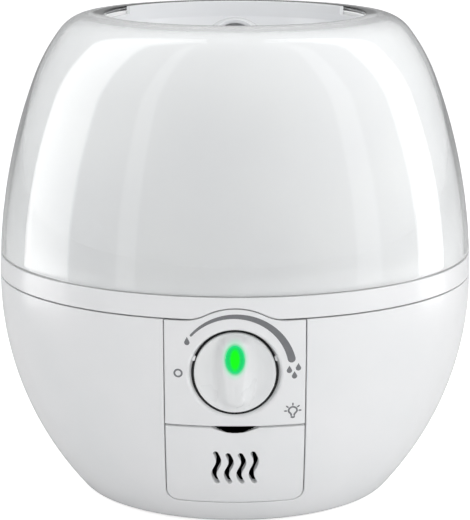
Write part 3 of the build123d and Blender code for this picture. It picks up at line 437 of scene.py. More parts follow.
def give_wall(bm: BMesh, wall: float, roll: float,
              inner_cut: Callable[[BMesh, list[BMFace]], None] | None = None,
              keep_open: Callable[[BMEdge], bool] = lambda e: False) -> dict[BMVert, BMVert]:
    """Make a sheet a closed shell with a rolled outer edge.

    Args:
        bm: the sheet, facing outwards, its edges short of their place by the roll.
        wall: thickness.
        roll: radius of the outer edge.
        inner_cut: trims the inner sheet before it is joined.
        keep_open: tells the open edges that another piece of work closes.

    Returns:
        The partner on the inner sheet of each corner of the outer one.
    """
    bm.normal_update()
    outer = bm.faces[:]
    rim = [e for e in bm.edges if e.is_boundary and not keep_open(e)]
    frames = border_frames(rim)
    normals = {v: v.normal.copy() for v in bm.verts}
    copy = bmesh.ops.duplicate(bm, geom=bm.verts[:] + bm.edges[:] + outer)
    partner = {v: copy["vert_map"][v] for v in normals}
    for v, twin in partner.items():
        twin.co = v.co - normals[v] * wall
    inner = [g for g in copy["geom"] if isinstance(g, BMFace)]
    bmesh.ops.reverse_faces(bm, faces=inner)
    if inner_cut:
        inner_cut(bm, inner)
    border = Border(bm, rim)
    if roll:
        for turn in ROLL_TURNS:
            s, d = roll * math.sin(math.radians(turn)), roll * (1 - math.cos(math.radians(turn)))
            border.grow(lambda v, s=s, d=d: frames[v][0] + frames[v][2] * s - frames[v][1] * d)
        border.grow(lambda v: frames[v][0] + frames[v][2] * roll - frames[v][1] * wall)
    border.grow(lambda v: frames[v][0] - frames[v][1] * wall)
    border.weld(partner)
    return partner


def snap_to(bm: BMesh, outline: Outline, inset: float = 0.0) -> None:
    """Put every corner of a sheet exactly on the outline, moving it only along Y."""
    for v in bm.verts:
        r = outline.radius_at(v.co.z, inset)
        v.co.y = math.copysign(math.sqrt(max(r * r - v.co.x**2, 0.0)), v.co.y)


def join(target: BMesh, other: BMesh) -> None:
    """Add another mesh's geometry to a mesh and free the other."""
    spare = bpy.data.meshes.new("spare")
    other.to_mesh(spare)
    target.from_mesh(spare)
    other.free()
    bpy.data.meshes.remove(spare)


def tube(radius: float, bore: float, low: float, high: float, steps: int = 48,
         edge: float = 0.3) -> BMesh:
    """Upright tube with softened edges."""
    return turned(rounded([(bore, low), (radius, low), (radius, high), (bore, high)], edge), steps)


def turn_mesh(bm: BMesh, degrees: float, axis: str, pivot: Sequence[float] = (0, 0, 0)) -> None:
    """Turn a whole mesh about an axis through the pivot."""
    bmesh.ops.rotate(bm, verts=bm.verts[:], cent=pivot,
                     matrix=Matrix.Rotation(math.radians(degrees), 3, axis))


def shift_mesh(bm: BMesh, x: float = 0.0, y: float = 0.0, z: float = 0.0) -> None:
    """Move a whole mesh."""
    bmesh.ops.translate(bm, verts=bm.verts[:], vec=(x, y, z))


# --- finishes -------------------------------------------------------------------------------------
def linear(colour: str) -> tuple[float, float, float, float]:
    """sRGB hex colour as linear values."""
    values = [int(colour[i:i + 2], 16) / 255 for i in (1, 3, 5)]
    return (*[v / 12.92 if v <= 0.04045 else ((v + 0.055) / 1.055)**2.4 for v in values], 1.0)


def add_node(tree: bpy.types.NodeTree, kind: str, inputs: dict[str | int, object] | None = None,
             **settings: object) -> bpy.types.Node:
    """Add a node.

    Args:
        tree: the material's or world's tree.
        kind: the node's type name, without its Shader prefix.
        inputs: a value or a socket to link, for each input by name or number.
        settings: the node's own settings.

    Returns:
        The node.
    """
    node = tree.nodes.new("ShaderNode" + kind)
    for name, value in settings.items():
        setattr(node, name, value)
    for name, value in (inputs or {}).items():
        if isinstance(value, Socket):
            tree.links.new(value, node.inputs[name])
        else:
            node.inputs[name].default_value = value
    return node


@dataclass(frozen=True)
class Finish:
    """Base of the finishes: a named material with one shader, patterned on Object coordinates."""
    name: str

    def build(self) -> bpy.types.Material:
        """Make the material, once."""
        known = bpy.data.materials.get("finish_" + self.name)
        if known:
            return known
        material = bpy.data.materials.new("finish_" + self.name)
        material.use_nodes = True
        tree = material.node_tree
        tree.nodes.clear()
        place = add_node(tree, "TexCoord").outputs["Object"]
        out = add_node(tree, "OutputMaterial")
        tree.links.new(self.shade(tree, place), out.inputs["Surface"])
        return material

    def shade(self, tree: bpy.types.NodeTree, place: Socket) -> Socket:
        """Build the shader and return its output."""
        raise NotImplementedError


def noise(tree: bpy.types.NodeTree, place: Socket, size_mm: float, detail: float = 2.0) -> Socket:
    """Noise whose features are about the given size."""
    return add_node(tree, "TexNoise", {"Vector": place, "Scale": 1 / (size_mm * MM),
                                       "Detail": detail}).outputs["Fac"]


def span(tree: bpy.types.NodeTree, value: Socket, low: float, high: float, from_low: float = 0.3,
         from_high: float = 0.7) -> Socket:
    """Value spread between two numbers."""
    return add_node(tree, "MapRange", {"Value": value, "From Min": from_low, "From Max": from_high,
                                       "To Min": low, "To Max": high}).outputs["Result"]


def blend_colours(tree: bpy.types.NodeTree, share: Socket, first: str, second: str) -> Socket:
    """Two sRGB colours mixed by a share."""
    return add_node(tree, "Mix", {0: share, 6: linear(first), 7: linear(second)},
                    data_type="RGBA").outputs[2]


@dataclass(frozen=True)
class Moulded(Finish):
    """Injection-moulded plastic: even colour with faint flow clouding, fine spark-erosion grain."""
    colour: str = "#E9EAEB"
    clouded: str = "#E4E5E7"
    roughness: float = 0.3
    roughness_spread: float = 0.04
    grain_mm: float = 0.35
    grain_depth: float = 0.012
    cloud_mm: float = 45.0
    ior: float = 1.53
    glaze: float = 0.0
    glaze_roughness: float = 0.08
    see_in: float = 0.0
    see_in_mm: float = 2.0

    def shade(self, tree: bpy.types.NodeTree, place: Socket) -> Socket:
        """Plastic with clouded colour, uneven gloss and grain."""
        shader = add_node(tree, "BsdfPrincipled", {
            "Base Color": self.colours(tree, place),
            "Roughness": span(tree, noise(tree, place, self.cloud_mm / 3, 3), self.roughness
                              - self.roughness_spread, self.roughness + self.roughness_spread),
            "Normal": self.grain(tree, place), "IOR": self.ior, "Coat Weight": self.glaze,
            "Coat Roughness": self.glaze_roughness, "Subsurface Weight": self.see_in,
            "Subsurface Radius": (self.see_in_mm * MM,) * 3, "Subsurface Scale": 1.0})
        return self.top_off(tree, place, shader.outputs["BSDF"])

    def colours(self, tree: bpy.types.NodeTree, place: Socket) -> Socket:
        """Colour with faint clouding."""
        return blend_colours(tree, span(tree, noise(tree, place, self.cloud_mm, 2), 0, 1),
                             self.colour,
                             self.clouded)

    def grain(self, tree: bpy.types.NodeTree, place: Socket) -> Socket:
        """Bump of the mould's grain."""
        return add_node(tree, "Bump", {"Height": noise(tree, place, self.grain_mm, 2),
                                       "Strength": 1.0,
                                       "Distance": self.grain_depth * MM}).outputs["Normal"]

    def top_off(self, tree: bpy.types.NodeTree, place: Socket, shader: Socket) -> Socket:
        """Last change to the shader; the plain plastic needs none."""
        return shader


# Half the width and height of the knob's lit window, in millimetres.
WINDOW_HALF = (4.4, 6.6)


@dataclass(frozen=True)
class LitKnob(Moulded):
    """White plastic that lets the lamp behind its window glow through round the window."""
    centre: tuple[float, float, float] = (0, 0, 0)
    half: tuple[float, float] = WINDOW_HALF
    glow: str = "#2FE089"
    halo: str = "#C4F7DB"
    strength: float = 0.9
    reach: float = 1.62

    def top_off(self, tree: bpy.types.NodeTree, place: Socket, shader: Socket) -> Socket:
        """Mix light into the plastic, fading away from the window."""
        far = window_distance(tree, place, self.centre, self.half)
        fade = add_node(tree, "MapRange", {"Value": far, "From Min": 1.0, "From Max": self.reach,
                                           "To Min": 0.85,
                                           "To Max": 0.0},
                                           interpolation_type="SMOOTHERSTEP").outputs["Result"]
        colour = blend_colours(tree, span(tree, far, 0, 1, 1.0, 1.22), self.glow, self.halo)
        light = add_node(tree, "Emission", {"Color": colour, "Strength": self.strength})
        return add_node(tree, "MixShader", {0: fade, 1: shader, 2: light.outputs[0]}).outputs[0]


def window_distance(tree: bpy.types.NodeTree, place: Socket, centre: Sequence[float],
                    half: Sequence[float]) -> Socket:
    """Distance from the window's centre, 1 at its edge."""
    scale = (1 / (half[0] * MM), 0.0, 1 / (half[1] * MM))
    away = add_node(tree, "Mapping", {"Vector": place,
                                      "Location": tuple(c * s * -MM for c, s in zip(centre, scale)),
                                      "Scale": scale})
    return add_node(tree, "VectorMath", {0: away.outputs[0]}, operation="LENGTH").outputs["Value"]


@dataclass(frozen=True)
class LitWindow(Finish):
    """Green lens over a lamp: brightest down its middle, softer green towards its edge."""
    centre: tuple[float, float, float] = (0, 0, 0)
    half: tuple[float, float] = WINDOW_HALF
    core: str = "#00FF00"
    rim: str = "#10D56C"
    edge: str = "#2FE089"
    core_half: tuple[float, float] = (2.3, 5.2)

    def shade(self, tree: bpy.types.NodeTree, place: Socket) -> Socket:
        """Glossy lens over the lamp's light."""
        far = window_distance(tree, place, self.centre, self.half)
        skirt = blend_colours(tree, span(tree, far, 0, 1, 0.8, 1.0), self.rim, self.edge)
        deep = window_distance(tree, place, self.centre, self.core_half)
        share = span(tree, deep, 1, 0, 0.75, 1.2)
        colour = add_node(tree, "Mix", {0: share, 6: skirt, 7: linear(self.core)},
                          data_type="RGBA").outputs[2]
        speckle = span(tree, noise(tree, place, 0.6, 2), 0.95, 1.03)
        lens = add_node(tree, "BsdfPrincipled", {
            "Base Color": linear("#04140A"), "Roughness": 0.3, "Specular IOR Level": 0.2,
            "Emission Color": colour, "Emission Strength": speckle})
        return lens.outputs[0]


@dataclass(frozen=True)
class Clear(Finish):
    """Clear moulded styrene: high gloss, a faint haze and the slow ripple of a large moulding."""
    tint: str = "#FDFEFE"
    roughness: float = 0.03
    ior: float = 1.5
    haze: str = "#F9FAFA"
    ripple_mm: float = 38.0
    ripple_depth: float = 0.03

    def shade(self, tree: bpy.types.NodeTree, place: Socket) -> Socket:
        """Clear plastic with a slow ripple and slight scuffing in its gloss."""
        normal = add_node(tree, "Bump", {"Height": noise(tree, place, self.ripple_mm, 1),
                                         "Strength": 1.0,
                                         "Distance": self.ripple_depth * MM}).outputs["Normal"]
        return add_node(tree, "BsdfPrincipled", {
            "Base Color": blend_colours(tree, noise(tree, place, 60, 1), self.tint, self.haze),
            "Roughness": span(tree, noise(tree, place, 9, 4), self.roughness * 0.6,
                              self.roughness * 1.4),
            "IOR": self.ior, "Transmission Weight": 1.0, "Normal": normal}).outputs[0]


@dataclass(frozen=True)
class Metal(Finish):
    """Metal with a fine drawn or machined grain and small spots of duller plating."""
    colour: str = "#B9BBBE"
    dull: str = "#9A9CA0"
    roughness: float = 0.3
    grain_mm: float = 0.25
    stretch: tuple[float, float, float] = (1.0, 1.0, 8.0)

    def shade(self, tree: bpy.types.NodeTree, place: Socket) -> Socket:
        """Metal whose grain is drawn out along one way."""
        drawn = add_node(tree, "Mapping", {"Vector": place, "Scale": self.stretch}).outputs[0]
        grain = noise(tree, drawn, self.grain_mm * 4, 3)
        bump = add_node(tree, "Bump", {"Height": grain, "Distance": 0.01 * MM}).outputs["Normal"]
        return add_node(tree, "BsdfPrincipled", {
            "Base Color": blend_colours(tree, span(tree, noise(tree, place, 3, 3), 0, 1),
                                        self.colour, self.dull),
            "Metallic": 1.0, "Roughness": span(tree, grain, self.roughness - 0.08,
                                               self.roughness + 0.08),
            "Normal": bump}).outputs[0]


@dataclass(frozen=True)
class Laminate(Finish):
    """Circuit board: solder mask over a weave, with the raised lines of its copper tracks."""
    mask: str = "#1E5B34"
    track: str = "#2C7A49"
    pitch_mm: float = 2.5

    def shade(self, tree: bpy.types.NodeTree, place: Socket) -> Socket:
        """Solder mask with paler tracks."""
        cells = add_node(tree, "TexVoronoi", {"Vector": place, "Scale": 1 / (self.pitch_mm * MM)},
                         distance="MANHATTAN")
        lines = span(tree, cells.outputs["Distance"], 0, 1, 0.42, 0.5)
        bump = add_node(tree, "Bump", {"Height": lines, "Distance": 0.035 * MM}).outputs["Normal"]
        return add_node(tree, "BsdfPrincipled", {
            "Base Color": blend_colours(tree, lines, self.mask, self.track),
            "Roughness": span(tree, noise(tree, place, 1.2, 2), 0.28, 0.4),
            "Normal": bump}).outputs[0]


@dataclass(frozen=True)
class Foam(Finish):
    """Closed-cell foam: a dimpled skin of small cells, with painted shade in the dimples."""
    colour: str = "#E6E4DC"
    dimple_shade_colour: str = "#CFCCC2"
    cell_mm: float = 0.9

    def shade(self, tree: bpy.types.NodeTree, place: Socket) -> Socket:
        """Foam with dimples between its cells, painted darker in the dimples as shade."""
        cells = add_node(tree, "TexVoronoi", {"Vector": place, "Scale": 1 / (self.cell_mm * MM)})
        share = span(tree, cells.outputs["Distance"], 0, 1, 0.1, 0.8)
        bump = add_node(tree, "Bump", {"Height": share, "Distance": 0.12 * MM},
                        invert=True).outputs["Normal"]
        return add_node(tree, "BsdfPrincipled", {
            # colour darkens towards the dimples between cells: painted shade
            "Base Color": blend_colours(tree, share, self.colour, self.dimple_shade_colour),
            "Roughness": 0.85,
            "Normal": bump}).outputs[0]


@dataclass(frozen=True)
class Paper(Finish):
    """Studio paper, lit a little from behind so that it stays white to the camera."""
    colour: str = "#F4F4F4"
    glow: float = 0.75

    def shade(self, tree: bpy.types.NodeTree, place: Socket) -> Socket:
        """Matte paper that glows for the camera only."""
        seen = add_node(tree, "LightPath").outputs["Is Camera Ray"]
        strength = add_node(tree, "Math", {0: seen, 1: self.glow}, operation="MULTIPLY").outputs[0]
        return add_node(tree, "BsdfPrincipled", {
            "Base Color": linear(self.colour), "Roughness": 0.9,
            "Emission Color": linear("#FFFFFF"),
            "Emission Strength": strength, "Specular IOR Level": 0.1}).outputs[0]


WHITE = Moulded("moulded_abs_white", "#F4F4F5", "#F0F1F2", roughness=0.33, glaze=0.7,
                glaze_roughness=0.16)
BOWL = Moulded("glossy_abs_white", "#F2F3F4", "#EDEEF0", roughness=0.22, grain_mm=0.6,
               grain_depth=0.006)
LINER = Moulded("frosted_polypropylene", "#FBFBFB", "#F8F8F9", roughness=0.5, grain_mm=0.5,
                grain_depth=0.02,
                see_in=0.15, ior=1.49)
PLATE = Moulded("textured_abs_white", "#DFE0E1", "#D8D9DB", roughness=0.55, grain_mm=0.9,
                grain_depth=0.06)
BLACK = Moulded("moulded_abs_black", "#141416", "#1B1B1E", roughness=0.45, grain_mm=0.6,
                grain_depth=0.04)
RUBBER = Moulded("soft_rubber_grey", "#6E6F72", "#636467", roughness=0.75, grain_mm=0.7,
                 grain_depth=0.05,
                 cloud_mm=12)
PRINT = Moulded("pad_printed_ink_grey", "#7C7D80", "#76777A", roughness=0.5, grain_mm=0.25,
                grain_depth=0.01,
                cloud_mm=4)
SILICONE = Moulded("moulded_silicone", "#DCDCD6", "#D2D2CB", roughness=0.6, cloud_mm=10, see_in=0.2,
                   ior=1.41)
DIFFUSER = Moulded("opal_diffuser", "#F1F0EA", "#E9E8E1", roughness=0.55, see_in=0.4, cloud_mm=20)
EPOXY = Moulded("epoxy_black", "#202126", "#2A2B30", roughness=0.38, cloud_mm=5, grain_mm=0.3)
LED_BODY = Moulded("led_package", "#F4EFC8", "#EEE6B4", roughness=0.3, cloud_mm=2, see_in=0.3)
LED_GREEN = Moulded("led_green_epoxy", "#38E08A", "#2CCB78", roughness=0.2, cloud_mm=2, see_in=0.3)
STEEL = Metal("zinc_plated_steel", "#C4C6C9", "#A5A7AB", roughness=0.34)
ALUMINIUM = Metal("extruded_aluminium", "#D6D8DA", "#BFC1C4", roughness=0.36,
                  stretch=(1.0, 8.0, 1.0))
BRASS = Metal("nickel_plated_brass", "#D8C9A0", "#B9A878", roughness=0.28, stretch=(1.0, 1.0, 1.0))
MAGNET = Metal("sintered_magnet", "#4A4B50", "#3A3B40", roughness=0.55, stretch=(1.0, 1.0, 1.0))
SPRING = Metal("spring_steel_wire", "#A9ABAF", "#8E9095", roughness=0.26)
TANK = Clear("clear_styrene")
GLASS = Clear("reed_glass", tint="#DDEBE0", haze="#D6E6DA", ripple_mm=3, ripple_depth=0.005)

SLOT_FINISH: dict[str, Finish] = {
    "housing_white": WHITE, "knob_white": WHITE, "plate_white": PLATE, "black_plastic": BLACK,
    "rubber_grey": RUBBER, "screw_steel": STEEL, "diffuser_frosted": DIFFUSER,
    "circuit_board": Laminate("solder_masked_laminate"), "board_parts": EPOXY,
    "led_white": LED_BODY,
    "led_green": LED_GREEN, "heater_aluminium": ALUMINIUM, "transducer_brass": BRASS,
    "seal_silicone": SILICONE, "float_foam": Foam("closed_cell_foam"), "magnet_dark": MAGNET,
    "reed_glass": GLASS, "bowl_white": BOWL, "tank_clear": TANK, "tank_frosted": LINER,
    "spring_steel": SPRING,
}


# --- objects --------------------------------------------------------------------------------------
class Body(Enum):
    """CAD bodies that new pieces ride on."""
    BASE = "base"
    KNOB = "knob"
    DRAWER = "drawer"
    TANK = "tank"
    NOZZLE = "nozzle"


def add_object(name: str, data: bpy.types.ID) -> bpy.types.Object:
    """Make an object of the data and put it in the scene."""
    made = bpy.data.objects.new(name, data)
    bpy.context.scene.collection.objects.link(made)
    return made


def make_piece(bm: BMesh, name: str, body: Body, finish: Finish,
               replaces: Sequence[str] = (),
               sharp: float = 42.0) -> bpy.types.Object:
    """Turn a mesh drawn in millimetres into a piece of the model.

    Args:
        bm: the mesh, which is freed.
        name: the piece's name.
        body: the CAD body it rides on.
        finish: its finish.
        replaces: CAD nodes it stands for.
        sharp: degrees past which an edge is left hard.

    Returns:
        The object.
    """
    bmesh.ops.scale(bm, vec=(MM, MM, MM), verts=bm.verts[:])
    for face in bm.faces:
        face.smooth = True
    mesh = bpy.data.meshes.new(name)
    bm.to_mesh(mesh)
    bm.free()
    mesh.set_sharp_from_angle(angle=math.radians(sharp))
    piece = add_object(name, mesh)
    mesh.materials.append(finish.build())
    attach(piece, body.value)
    if replaces:
        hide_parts(*replaces)
    LOG.info("%s: %d faces, rides on %s", name, len(mesh.polygons), body.value)
    return piece


def even_shading(piece: bpy.types.Object) -> None:
    """Weight a piece's shading by face size, so that rolled edges stay tight."""
    weigh = piece.modifiers.new("even_shading", "WEIGHTED_NORMAL")
    weigh.keep_sharp = True


# --- base -----------------------------------------------------------------------------------------
@dataclass
class Base:
    """White base: lower housing, collar and the panel's frame, cut from one outline."""
    outline: Outline
    knob: Point
    roll: float = 0.45
    wall: float = 2.5
    seam: float = 0.6
    gap: float = 0.5
    half_width: float = 33.4
    drawer_corner_r: float = 6.5
    arch_rise: float = 1.2
    arch_r: float = 30.7
    arch_blend_r: float = 22.0
    gland_r: float = 6.0
    gland_z: float = 22.0
    row: float = 2.4
    columns: int = 240
    boss_r: float = 5.0
    boss_bore: float = 1.5
    boss_clearance: float = 0.1
    deck_boss_depth: float = 18.0
    screw_head_r: float = 3.0
    seam_z: float = field(init=False)
    drawer_top: float = 58.8
    drawer_bottom: float = 14.1

    def __post_init__(self) -> None:
        """Read the seam's height from the frame."""
        self.seam_z = mm_box("lower_housing")[1].z + self.seam / 2

    @property
    def arch_centre(self) -> Point:
        """Centre of the arched top edge and of the marks that follow it."""
        return self.knob[0], self.knob[1] + self.arch_rise

    def arch(self, grow: float, low: float) -> list[Point]:
        """The panel's outline from a height to its arched top, made larger by the amount."""
        centre = self.arch_centre
        half, top = self.half_width + grow, self.seam_z + grow
        big, small = self.arch_r + grow, self.arch_blend_r - grow
        small_z = top + small
        small_x = math.sqrt((big + small)**2 - (small_z - centre[1])**2)
        meet = math.degrees(math.atan2(small_z - centre[1], small_x))
        return [(half, low), (half, top), *arc_points((small_x, small_z), small, -90, meet - 180,
                                                      12),
                *arc_points(centre, big, meet, 180 - meet, 36)[1:-1],
                *arc_points((-small_x, small_z), small, -meet, -90, 12), (-half, top), (-half, low)]

    def drawer(self, grow: float, high: float) -> list[Point]:
        """The drawer front's outline up to a height, with round lower corners."""
        half, low = self.half_width + grow, self.drawer_bottom - grow
        r = self.drawer_corner_r + grow
        return [(half, high), (-half, high), *arc_points((-half + r, low + r), r, 180, 270, 10),
                *arc_points((half - r, low + r), r, 270, 360, 10)]

    def build(self) -> None:
        """Make the housing and the collar."""
        self.lower_housing()
        self.collar()

    def lower_housing(self) -> None:
        """Lower shell, open at the front for the panel and drawer and at the back for the gland."""
        low, high = mm_box("lower_housing")
        flange = mm_box("bottom_plate")[1].x + 0.3 + self.roll
        path = [(flange, low.z), (self.outline.flat_r - 0.2, low.z),
                *self.outline.path(low.z, high.z - self.roll, self.row)]
        bm = turned(path, self.columns, closed=False)
        face_out(bm)
        cut(bm, self.drawer(self.roll, self.outline.height))
        cut(bm, circle_points((0, self.gland_z), self.gland_r + self.roll, 40), side=1)
        give_wall(bm, self.wall, self.roll)
        self.bosses(bm, low.z + self.wall)
        even_shading(make_piece(bm, "housing_shell", Body.BASE, WHITE,
                                ["lower_housing"]))

    def bosses(self, bm: BMesh, floor: float) -> None:
        """Screw bosses over the bottom plate and under the deck, inside the shell."""
        plate_screws, deck_screws = mm_box("base_screws")[1], mm_box("deck_screws")[1]
        top = self.seam_z - self.seam / 2
        rings = ((plate_screws.x, (30, 150, 210, 330), floor, plate_screws.z),
                 (deck_screws.x, (45, 135, 225, 315), top - self.deck_boss_depth,
                  top - self.boss_clearance))
        for edge_x, angles, low, high in rings:
            spread = (edge_x - self.screw_head_r) / math.cos(math.radians(angles[0]))
            for angle in angles:
                boss = tube(self.boss_r, self.boss_bore, low, high)
                shift_mesh(boss, *(Matrix.Rotation(math.radians(angle), 3,
                                                   "Z") @ Vector((spread, 0, 0))))
                join(bm, boss)

    def collar(self) -> None:
        """Band between the housing and the tank, cut away over the panel's arch."""
        low, high = mm_box("collar")
        bm = turned(self.outline.path(low.z + self.roll, high.z - self.roll, self.row),
                    self.columns,
                    closed=False)
        face_out(bm)
        cut(bm, self.arch(self.roll, 0))
        give_wall(bm, self.wall, self.roll)
        even_shading(make_piece(bm, "seam_collar", Body.BASE, WHITE, ["collar"]))


# Rings of the knob's dish: radius in millimetres and share of the way from the face to the floor.
DISH_RINGS = ((22.3, 0.012), (21.95, 0.05), (21.6, 0.13), (21.3, 0.26), (21.0, 0.45), (20.75, 0.68),
              (20.5, 0.86), (20.1, 0.96), (19.4, 1.0), (12.0, 1.0))


@dataclass
class Panel:
    """Front panel with the knob's dish, and the marks printed on it."""
    base: Base
    dish_mouth: float = 22.7
    boss_r: float = 24.6
    boss_wall: float = 3.0
    shaft_r: float = 3.05
    # Black ring round the knob: a dark piece that paints the shade in the gap between knob and dish.
    shade_ring_r: tuple[float, float] = (16.0, 20.55)
    shade_ring_bead_r: tuple[float, float] = (19.8, 20.2)
    shade_ring_rise: float = 0.2
    shade_ring_bead_rise: float = 0.5
    shade_ring_bed: float = 0.3
    stop_turns: tuple[float, float] = (19.4, 160.6)
    stop_size: tuple[float, float, float] = (1.3, 2.2, 2.5)
    stop_reach: float = 20.3
    stop_rise: float = 0.8
    off_ring: Point = (-26.4, 86.1)
    off_ring_r: tuple[float, float] = (2.15, 1.3)
    small_drop: Point = (-22.2, 102.0)
    three_drops: tuple[Point, ...] = ((25.2, 88.0), (29.4, 89.0), (27.6, 85.1))
    drop_width: float = 2.5
    drop_heights: tuple[float, float] = (4.0, 3.7)
    arc_r: float = 26.9
    lamp: Point = (27.0, 66.4)
    film_gap: float = 0.03
    film_thick: float = 0.06
    dish_floor_y: float = field(init=False)

    def __post_init__(self) -> None:
        """Read the dish's floor from the knob's back."""
        self.dish_floor_y = mm_box("control_knob")[1].y + 0.5

    def sheet(self, low: float, high: float, half_angle: float, step: float,
              inset: float = 0.0) -> BMesh:
        """Front sheet of the body's outline, fine enough for small cuts."""
        path = self.base.outline.path(low, high, step, inset)
        return skin(path, half_angle, math.degrees(step / self.base.outline.belly_r))

    def build(self) -> None:
        """Make the panel, the black ring of painted shade round the knob and the marks."""
        self.panel()
        self.knob_shade_ring()
        self.marks()

    def knob_shade_ring(self) -> None:
        """Black ring in the dish's floor that the knob turns over: a dark piece that paints the
        shade of the gap round the knob.
        """
        low, high = self.shade_ring_r
        foot, crest = self.shade_ring_bead_r
        flat, bead, bed = (self.dish_floor_y + rise
                           for rise in (-self.shade_ring_rise, -self.shade_ring_bead_rise, self.shade_ring_bed))
        bm = turned(rounded([(low, flat), (foot, flat), (crest, bead), (high, bead), (high, bed),
                             (low, bed)],
                            0.12, 2), 120)
        turn_mesh(bm, -90, "X")
        shift_mesh(bm, self.base.knob[0], 0, self.base.knob[1])
        # black ring standing in for the shade of the gap round the knob
        make_piece(bm, "knob_shade_ring", Body.BASE, BLACK)

    def panel(self) -> None:
        """Panel: arched sheet with a flared dish, its floor, and the boss behind it."""
        base, knob = self.base, self.base.knob
        grow = -base.gap - base.roll
        outline = base.arch(grow, base.drawer_top - grow)
        bm = self.sheet(base.drawer_top - 4, mm_box("control_panel")[1].z + 3, 18.5, 1.5)
        cut(bm, outline, within=False)
        boss, mouth = circle_points(knob, self.boss_r, 72), circle_points(knob, self.dish_mouth, 72)
        score(bm, boss)
        cut(bm, mouth)
        snap_to(bm, base.outline)

        def round_knob(edge: BMEdge) -> bool:
            """Whether an edge lies on the dish's mouth."""
            away = [math.dist((v.co.x, v.co.z), knob) for v in edge.verts]
            return max(away) < self.dish_mouth + 0.2

        bm.normal_update()
        dish_edges = [e for e in bm.edges if e.is_boundary and round_knob(e)]
        give_wall(bm, base.wall, base.roll, lambda mesh, inner: drop(mesh, boss, faces=inner),
                  round_knob)
        dish = Border(bm, [e for e in dish_edges if e.is_valid])
        for radius, depth in (*DISH_RINGS, (self.shaft_r, 1.0)):
            dish.grow(lambda v, r=radius, d=depth: self.round_place(
                v, r, v.co.y * (1 - d) + self.dish_floor_y * d))
        back = [e for e in bm.edges if e.is_boundary and e not in set(dish.edges)]
        rear = Border(bm, back)
        rear_y = self.dish_floor_y + self.boss_wall
        rear.grow(lambda v: self.round_place(v, self.boss_r, rear_y))
        rear.grow(lambda v: self.round_place(v, self.shaft_r, rear_y))
        bmesh.ops.bridge_loops(bm, edges=dish.edges + rear.edges)
        for turn in self.stop_turns:
            join(bm, self.stop(turn))
        bmesh.ops.recalc_face_normals(bm, faces=bm.faces[:])
        even_shading(make_piece(bm, "front_panel", Body.BASE, WHITE,
                                ["control_panel"]))

    def stop(self, turn: float) -> BMesh:
        """Small rib up the dish's wall, at an angle in degrees from the knob's right."""
        bm = bmesh.new()
        bmesh.ops.create_cube(bm, size=1.0)
        bmesh.ops.scale(bm, vec=self.stop_size, verts=bm.verts[:])
        bmesh.ops.bevel(bm, geom=bm.edges[:], offset=0.25, segments=2, affect="EDGES")
        shift_mesh(bm, self.stop_reach, self.dish_floor_y - self.stop_rise)
        turn_mesh(bm, -turn, "Y")
        shift_mesh(bm, self.base.knob[0], 0, self.base.knob[1])
        return bm

    def round_place(self, v: BMVert, radius: float, y: float) -> Vector:
        """Place at a radius from the knob's centre, on the same bearing as a corner."""
        knob = self.base.knob
        way = Vector((v.co.x - knob[0], v.co.z - knob[1])).normalized() * radius
        return Vector((knob[0] + way.x, y, knob[1] + way.y))

    def mark(self, target: BMesh, outline: list[Point], hole: list[Point] | None = None) -> None:
        """Add one printed shape to the marks: a patch of film that stands just off the panel."""
        xs, zs = [p[0] for p in outline], [p[1] for p in outline]
        patch = self.sheet(min(zs) - 1, max(zs) + 1, 15.8, 1.5, -self.film_gap)
        away = [f for f in patch.faces
                if not (min(xs) - 3 < f.calc_center_median().x < max(xs) + 3)]
        bmesh.ops.delete(patch, geom=away, context="FACES")
        cut(patch, outline, within=False)
        if hole:
            cut(patch, hole)
        snap_to(patch, self.base.outline, -self.film_gap)
        give_wall(patch, self.film_thick, 0.0)
        join(target, patch)

    def drop_shape(self, x: float, z: float, width: float, height: float) -> list[Point]:
        """Water drop: a round foot drawn up to a point, about the centre of its box."""
        r = width / 2
        foot = arc_points((x, z - height / 2 + r), r, -200, 20, 14)
        return [*foot, (x, z + height / 2)]

    def marks(self) -> None:
        """Off ring, small drop, growing arc, three drops and a lamp, as printed round the knob."""
        bm = bmesh.new()
        self.mark(bm, *(circle_points(self.off_ring, radius, 28) for radius in self.off_ring_r))
        tall, short = self.drop_heights
        self.mark(bm, self.drop_shape(*self.small_drop, self.drop_width, tall))
        for place in self.three_drops:
            self.mark(bm, self.drop_shape(*place, self.drop_width, short))
        line = arc_points(self.base.arch_centre, self.arc_r, 139, 13, 40)
        self.mark(bm, ribbon(line, lambda t: 1.1 + 2.6 * t))
        x, z = self.lamp
        half = ((0.75, -2.0), (0.85, -1.3), (1.95, 0.2), (1.5, 1.75))
        glass = smooth_line([*((x - u, z + w) for u, w in half), (x, z + 2.4),
                             *((x + u, z + w) for u, w in half[::-1])], 4)
        self.mark(bm, ribbon(glass, lambda t: 0.85, 3))
        self.mark(bm, ribbon([(x - 0.65, z - 2.9), (x, z - 3.15), (x + 0.65, z - 2.9)],
                             lambda t: 0.95, 3))
        for angle in (0, 40, 90, 140, 180):
            way = Vector((math.cos(math.radians(angle)), math.sin(math.radians(angle))))
            ray = [(x + way.x * r, z + 0.4 + way.y * r) for r in (2.95, 3.4, 3.85)]
            self.mark(bm, ribbon(ray, lambda t: 0.72, 3))
        make_piece(bm, "panel_marks", Body.BASE, PRINT)


